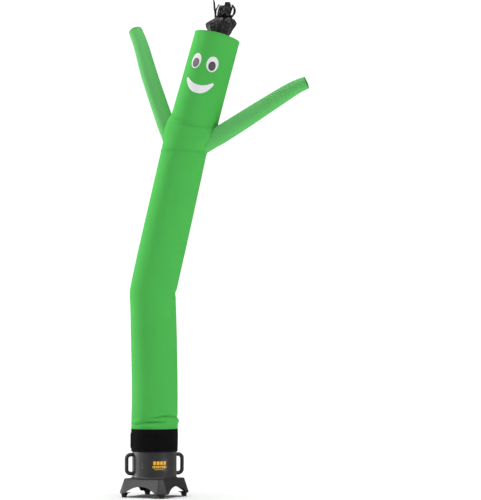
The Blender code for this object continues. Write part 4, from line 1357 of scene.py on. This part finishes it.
def about_axis(radius, azimuth, height):
    """A point at a radius and an azimuth round the blower's axis."""
    return AXIS + Vector((radius * math.sin(azimuth), -radius * math.cos(azimuth), height))


class CuffOperator(bpy.types.Operator):
    """Black cuff that holds the tube on the duct, and its closing strap"""

    bl_idname = "air_dancer.cuff"
    bl_label = "Cuff"

    def execute(self, context):
        cloth = context.scene.air_dancer_cloth
        black = brushed_strap("black_cuff_fabric", cloth.cuff)

        def surface(azimuth, height):
            radius = blend(CUFF, height, "radius")
            radius += 0.0008 * noise_round(azimuth, 2.5, height * 14)
            radius += 0.0007 * bell(height - 0.3235, 0.0035) + 0.0005 * bell(height - 0.4775, 0.003)
            return radius

        def ring(across, up):
            azimuth = round_angle(across)
            height = CUFF[0].height + (CUFF[-1].height - CUFF[0].height) * up
            radius = surface(azimuth, height)
            return about_axis(radius, azimuth, height)

        band = cloth_grid("cuff_cloth", 120, 48, (1.04, 0.163), ring)
        wall(band, CUFF_WALL)

        def strap(across, up):
            azimuth = math.radians(-152.0 + 84.0 * across)
            height = 0.345 + 0.105 * up
            lift = 0.0006 + 0.0022 * bell(across - 0.78, 0.22)
            radius = surface(azimuth, height) + lift + 0.0006
            return about_axis(radius, azimuth, height)

        flap = cloth_grid("cuff_strap", 48, 24, (0.243, 0.105), strap)
        wall(flap, STRAP_WALL, offset=1.0)
        finish_piece(flap, black, smooth=50.0)
        finish_piece(band, black, ("cuff",), smooth=50.0)

        thread = sewing_thread("black_thread", (0.012, 0.012, 0.013))
        for edge, up in (("low", 0.045), ("high", 0.955)):
            sew_round(f"cuff_stitches_{edge}", ring, up, 1.04, thread)
        level = [0.02 + 0.95 * share for share in even_shares(0.23)]
        for edge, path in (
            ("low", [(across, 0.06) for across in level]),
            ("high", [(across, 0.94) for across in level]),
            ("end", [(0.97, 0.10 + 0.80 * share) for share in even_shares(0.084)]),
        ):
            places = stitches_on(strap, path, upright=edge == "end")
            places = [(where + out * STRAP_WALL, along, out) for where, along, out in places]
            stitch_row(f"strap_stitches_{edge}", places, thread)
        return {"FINISHED"}


# Blower

TURN = math.radians(16.0)
BARREL_RADIUS = 0.158
BORE_RADIUS = 0.1525
BARREL_TOP = 0.405
DECK_TOP = 0.131
FLARE_RADIUS = 0.169
FLARE_HEIGHT = 0.020
RIDGE_RADIUS = 0.162
RIDGE_HEIGHTS = (0.375, 0.328)
RIDGE_HALF = 0.005
DECK = (0.331, 0.026)
SKIRT = (0.398, 0.050)
SKIRT_BOTTOM = 0.028
BASE_WALL = 0.005
ARCH_CHORD = 0.256
ARCH_APEX = 0.078
INTAKE_RADIUS = 0.165
FOOT_OFFSET = 0.218
HANDLE_TUBE = 0.0135
HANDLE_REACH = 0.216
HANDLE_BOTTOM = 0.152
HANDLE_TOP = 0.312
HANDLE_CORNER = 0.029
LABEL_SIZE = (0.139, 0.085)
LABEL_BOTTOM = 0.186
SCREW_HEIGHTS = (0.232, 0.212)


def arc(centre, radius, start, end, steps):
    """Points of an arc in an outline, angles in degrees from the outline's outward side."""
    angles = [math.radians(start + (end - start) * i / steps) for i in range(steps + 1)]
    return [(centre[0] + radius * math.cos(a), centre[1] + radius * math.sin(a)) for a in angles]


def outwards(azimuth):
    """The level direction out of the blower at an azimuth."""
    return Vector((math.sin(azimuth), -math.cos(azimuth), 0.0))


def make_barrel(material):
    """The duct with its rounded rim, two ridges and a flare that meets the deck in a hollow curve."""
    middle = (BARREL_RADIUS + BORE_RADIUS) / 2
    half = (BARREL_RADIUS - BORE_RADIUS) / 2
    foot = DECK_TOP + 0.0002
    profile = arc((middle, BARREL_TOP - half), half, 180.0, 0.0, 8)
    for height in RIDGE_HEIGHTS:
        profile.append((BARREL_RADIUS, height + RIDGE_HALF))
        profile += arc((RIDGE_RADIUS - 0.003, height), 0.003, 60.0, -60.0, 6)
        profile.append((BARREL_RADIUS, height - RIDGE_HALF))
    spread = FLARE_RADIUS - BARREL_RADIUS
    for step in range(9):
        angle = math.pi / 2 * step / 8
        profile.append((
            BARREL_RADIUS + spread * (1 - math.cos(angle)) ** 1.3,
            foot + 0.002 + (FLARE_HEIGHT - 0.002) * (1 - math.sin(angle)),
        ))
    profile += [(FLARE_RADIUS, foot), (BORE_RADIUS, foot)]
    barrel = turned("barrel_shell", profile, 128, AXIS)
    finish_piece(barrel, material, ("barrel",), smooth=30.0)


def block(name, inset, bottom, top):
    """An eight-sided block between the deck's outline and the wider outline at the skirt's edge."""
    start_clean()
    bpy.ops.mesh.primitive_cylinder_add(vertices=8, radius=1.0, depth=2.0, end_fill_type="NGON")
    piece = named(name)
    for point in piece.data.vertices:
        height = top if point.co.z > 0 else bottom
        share = (height - SKIRT_BOTTOM) / (DECK_TOP - SKIRT_BOTTOM)
        half = (SKIRT[0] + (DECK[0] - SKIRT[0]) * share) / 2 - inset
        short = half - (SKIRT[1] + (DECK[1] - SKIRT[1]) * share) + inset * (2 - math.sqrt(2))
        corners = (
            (half, -short), (half, short), (short, half), (-short, half),
            (-half, short), (-half, -short), (-short, -half), (short, -half),
        )
        step = round(math.atan2(point.co.y, point.co.x) / (math.pi / 4)) % 8
        point.co = (*corners[step], height)
    piece.data.transform(turn_about(TURN - math.pi / 4) @ Matrix.Translation(AXIS))
    return piece


def drum(radius, bottom, top):
    """An upright cylinder on the blower's axis, used to cut."""
    start_clean()
    middle = AXIS + Vector((0.0, 0.0, (bottom + top) / 2))
    bpy.ops.mesh.primitive_cylinder_add(vertices=96, radius=radius, depth=top - bottom, location=middle)
    settle(bpy.context.object)
    return bpy.context.object


def make_base(material):
    """The hollow foot part: rounded deck and skirts, an arch in each skirt and a sole at each corner."""
    base = block("base_shell", 0.0, SKIRT_BOTTOM, DECK_TOP)
    apply_modifier(
        base, "BEVEL", width=0.006, segments=4, limit_method="ANGLE", angle_limit=math.radians(25)
    )
    hollow = block("base_hollow", BASE_WALL, SKIRT_BOTTOM + BASE_WALL, DECK_TOP - BASE_WALL)
    reach = ARCH_APEX - SKIRT_BOTTOM
    radius = ((ARCH_CHORD / 2) ** 2 + reach**2) / (2 * reach)
    arches = []
    for quarter in range(2):
        start_clean()
        bpy.ops.mesh.primitive_cylinder_add(
            vertices=160, radius=radius, depth=1.0, location=AXIS + Vector((0.0, 0.0, ARCH_APEX - radius)),
            rotation=(math.pi / 2, 0.0, TURN - math.pi / 4 + quarter * math.pi / 2),
        )
        settle(bpy.context.object)
        arches.append(bpy.context.object)
    cut_away(
        base, hollow, drum(BORE_RADIUS, DECK_TOP - 0.03, DECK_TOP + 0.03),
        drum(INTAKE_RADIUS, SKIRT_BOTTOM - 0.03, SKIRT_BOTTOM + 0.03), *arches,
    )
    finish_piece(base, material, ("base",), smooth=28.0)


def make_handles(material):
    """Two round bars bent square, whose ends go into the barrel's wall."""
    azimuth = TURN - math.pi / 2
    out = outwards(azimuth)
    side = out.cross(Vector((0, 0, 1)))
    start = BARREL_RADIUS - 0.002
    far = HANDLE_REACH - HANDLE_TUBE - HANDLE_CORNER
    high, low = HANDLE_TOP - HANDLE_TUBE, HANDLE_BOTTOM + HANDLE_TUBE
    start_clean()
    bpy.ops.mesh.primitive_circle_add(
        vertices=28, radius=HANDLE_TUBE, location=AXIS + out * start + Vector((0, 0, high)),
        rotation=out.to_track_quat("Z", "Y").to_euler(),
    )
    bar = named("handle_bar_left")
    settle(bar)
    open_mesh()
    bpy.ops.mesh.extrude_region_move(TRANSFORM_OT_translate={"value": out * (far - start)})
    corners = ((high - HANDLE_CORNER, high - low - 2 * HANDLE_CORNER), (low + HANDLE_CORNER, 0.0))
    for centre_z, drop in corners:
        bpy.ops.mesh.spin(
            steps=12, angle=math.pi / 2, center=AXIS + out * far + Vector((0, 0, centre_z)), axis=side
        )
        if drop:
            bpy.ops.mesh.extrude_region_move(TRANSFORM_OT_translate={"value": (0.0, 0.0, -drop)})
    bpy.ops.mesh.extrude_region_move(TRANSFORM_OT_translate={"value": out * (start - far)})
    bpy.ops.mesh.select_all(action="SELECT")
    bpy.ops.mesh.fill_holes(sides=0)
    bpy.ops.mesh.select_all(action="SELECT")
    close_mesh()
    twin = copy_piece(bar, "handle_bar_right", turn_about(math.pi))
    finish_piece(bar, material, ("handle_left",), smooth=50.0)
    finish_piece(twin, material, ("handle_right",), smooth=50.0)


def make_feet(material):
    """Four tapered rubber feet with a rounded sole and two grooves."""
    top = SKIRT_BOTTOM - 0.0003
    profile = [(0.0, top), (0.0262, top), *arc((0.0250, top - 0.0015), 0.0015, 45.0, -30.0, 3)]
    profile += [(0.0235, 0.0227), (0.0215, 0.0196), (0.0207, 0.0190), (0.0211, 0.0184), (0.0200, 0.0170)]
    profile += [(0.0190, 0.0120), (0.0183, 0.0114), (0.0187, 0.0108), (0.0178, 0.0030)]
    profile += [*arc((0.0155, 0.0020), 0.0020, 0.0, -90.0, 4), (0.0, 0.0)]
    foot = turned("rubber_foot_1", profile, 40, AXIS)
    foot.data.transform(Matrix.Translation(outwards(TURN) * FOOT_OFFSET))
    for number in range(2, 5):
        twin = copy_piece(foot, f"rubber_foot_{number}", turn_about((number - 1) * math.pi / 2))
        finish_piece(twin, material, (f"foot_{number}",), smooth=30.0)
    finish_piece(foot, material, ("foot_1",), smooth=30.0)


def make_screws(material):
    """Pairs of round socket heads on the barrel."""
    start_clean()
    bpy.ops.mesh.primitive_cylinder_add(vertices=24, radius=0.0040, depth=0.0022)
    head = named("screw_head_1")
    bpy.ops.object.mode_set(mode="EDIT")
    bpy.ops.mesh.select_all(action="DESELECT")
    shape = bmesh.from_edit_mesh(head.data)
    for face in shape.faces:
        face.select_set(face.normal.z > 0.9)
    bmesh.update_edit_mesh(head.data)
    bpy.ops.mesh.inset(thickness=0.0006, depth=0.0003)
    bpy.ops.mesh.inset(thickness=0.0012, depth=0.0)
    bpy.ops.mesh.extrude_region_move(TRANSFORM_OT_translate={"value": (0.0, 0.0, -0.0012)})
    bpy.ops.object.mode_set(mode="OBJECT")
    lay = Matrix.Rotation(math.pi / 2, 4, "X")
    places = [(side, height) for side in range(4) for height in SCREW_HEIGHTS]
    seat = BARREL_RADIUS + 0.0006
    for number, (side, height) in reversed(list(enumerate(places, start=1))):
        azimuth = TURN - math.pi / 4 + side * math.pi / 2
        where = AXIS + outwards(azimuth) * seat + Vector((0, 0, height))
        matrix = Matrix.Translation(where) @ Matrix.Rotation(azimuth, 4, "Z") @ lay
        screw = head if number == 1 else copy_piece(head, f"screw_head_{number}", matrix)
        if number == 1:
            screw.data.transform(matrix)
        finish_piece(screw, material, (f"screw_{number}",), smooth=30.0)


def make_label(material):
    """A printed film with rounded corners, wrapped on the barrel."""
    width, height = LABEL_SIZE
    start_clean()
    bpy.ops.mesh.primitive_plane_add(size=1.0)
    label = named("label_sheet")
    label.data.transform(Matrix.Diagonal((width, height, 1.0, 1.0)))
    open_mesh()
    bpy.ops.mesh.bevel(offset=0.008, segments=5, affect="VERTICES")
    for step in range(1, 28):
        bpy.ops.mesh.select_all(action="SELECT")
        place = (width * (step / 28 - 0.5), 0.0, 0.0)
        bpy.ops.mesh.bisect(plane_co=place, plane_no=(1.0, 0.0, 0.0))
    bpy.ops.object.mode_set(mode="OBJECT")
    chart = label.data.uv_layers.active or label.data.uv_layers.new(name="UVMap")
    for corner, place in zip(label.data.loops, chart.data):
        point = label.data.vertices[corner.vertex_index].co
        place.uv = (point.x, point.y)
    for point in label.data.vertices:
        azimuth = TURN + point.co.x / BARREL_RADIUS
        level = LABEL_BOTTOM + height / 2 + point.co.y
        point.co = AXIS + outwards(azimuth) * (BARREL_RADIUS + 0.0002) + Vector((0.0, 0.0, level))
    apply_modifier(label, "SOLIDIFY", thickness=0.0007, offset=1.0)
    finish_piece(label, material, ("label",), smooth=30.0)


class BlowerOperator(bpy.types.Operator):
    """Moulded blower: duct, hollow base, handles, feet, screws and label"""

    bl_idname = "air_dancer.blower"
    bl_label = "Blower"

    def execute(self, context):
        plastic = pebbled_plastic("pebbled_housing", context.scene.air_dancer_blower.colour)
        make_barrel(plastic)
        make_base(plastic)
        make_handles(plastic)
        make_feet(moulded_rubber("foot_rubber", (0.012, 0.012, 0.012)))
        make_screws(plated_steel("screw_plating", (0.120, 0.120, 0.120)))
        make_label(printed_film("label_print", (0.012, 0.010, 0.010), (0.95, 0.52, 0.01)))
        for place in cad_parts["loop_strip"].material_slots:
            place.material = loop_tape("loop_tape_nylon", (0.020, 0.021, 0.023))
        return {"FINISHED"}


class PartsPanel(bpy.types.Panel):
    """Lists the pieces of the air dancer"""

    bl_label = "Air Dancer"
    bl_idname = "VIEW3D_PT_air_dancer"
    bl_space_type = "VIEW_3D"
    bl_region_type = "UI"
    bl_category = "Air Dancer"

    def draw(self, context):
        column = self.layout.column()
        for settings in (
            context.scene.air_dancer_cloth, context.scene.air_dancer_blower, context.scene.air_dancer_stage,
        ):
            for name in settings.__annotations__:
                column.prop(settings, name)
        for operator in OPERATORS:
            column.operator(operator.bl_idname)


OPERATORS = (
    StageOperator, TrunkOperator, SleevesOperator, CrownOperator, HairOperator, FaceOperator,
    CuffOperator, BlowerOperator,
)
SETTINGS = (ClothSettings, BlowerSettings, StageSettings)


def register():
    for cls in (*SETTINGS, *OPERATORS, PartsPanel):
        bpy.utils.register_class(cls)
    bpy.types.Scene.air_dancer_cloth = bpy.props.PointerProperty(type=ClothSettings)
    bpy.types.Scene.air_dancer_blower = bpy.props.PointerProperty(type=BlowerSettings)
    bpy.types.Scene.air_dancer_stage = bpy.props.PointerProperty(type=StageSettings)


def unregister():
    del bpy.types.Scene.air_dancer_stage
    del bpy.types.Scene.air_dancer_blower
    del bpy.types.Scene.air_dancer_cloth
    for cls in reversed((*SETTINGS, *OPERATORS, PartsPanel)):
        bpy.utils.unregister_class(cls)


def main():
    """Build every piece in order."""
    register()
    bpy.ops.air_dancer.stage()
    bpy.ops.air_dancer.trunk()
    bpy.ops.air_dancer.sleeves()
    bpy.ops.air_dancer.crown()
    bpy.ops.air_dancer.hair()
    bpy.ops.air_dancer.face()
    bpy.ops.air_dancer.blower()
    bpy.ops.air_dancer.cuff()


if __name__ == "__main__":
    main()
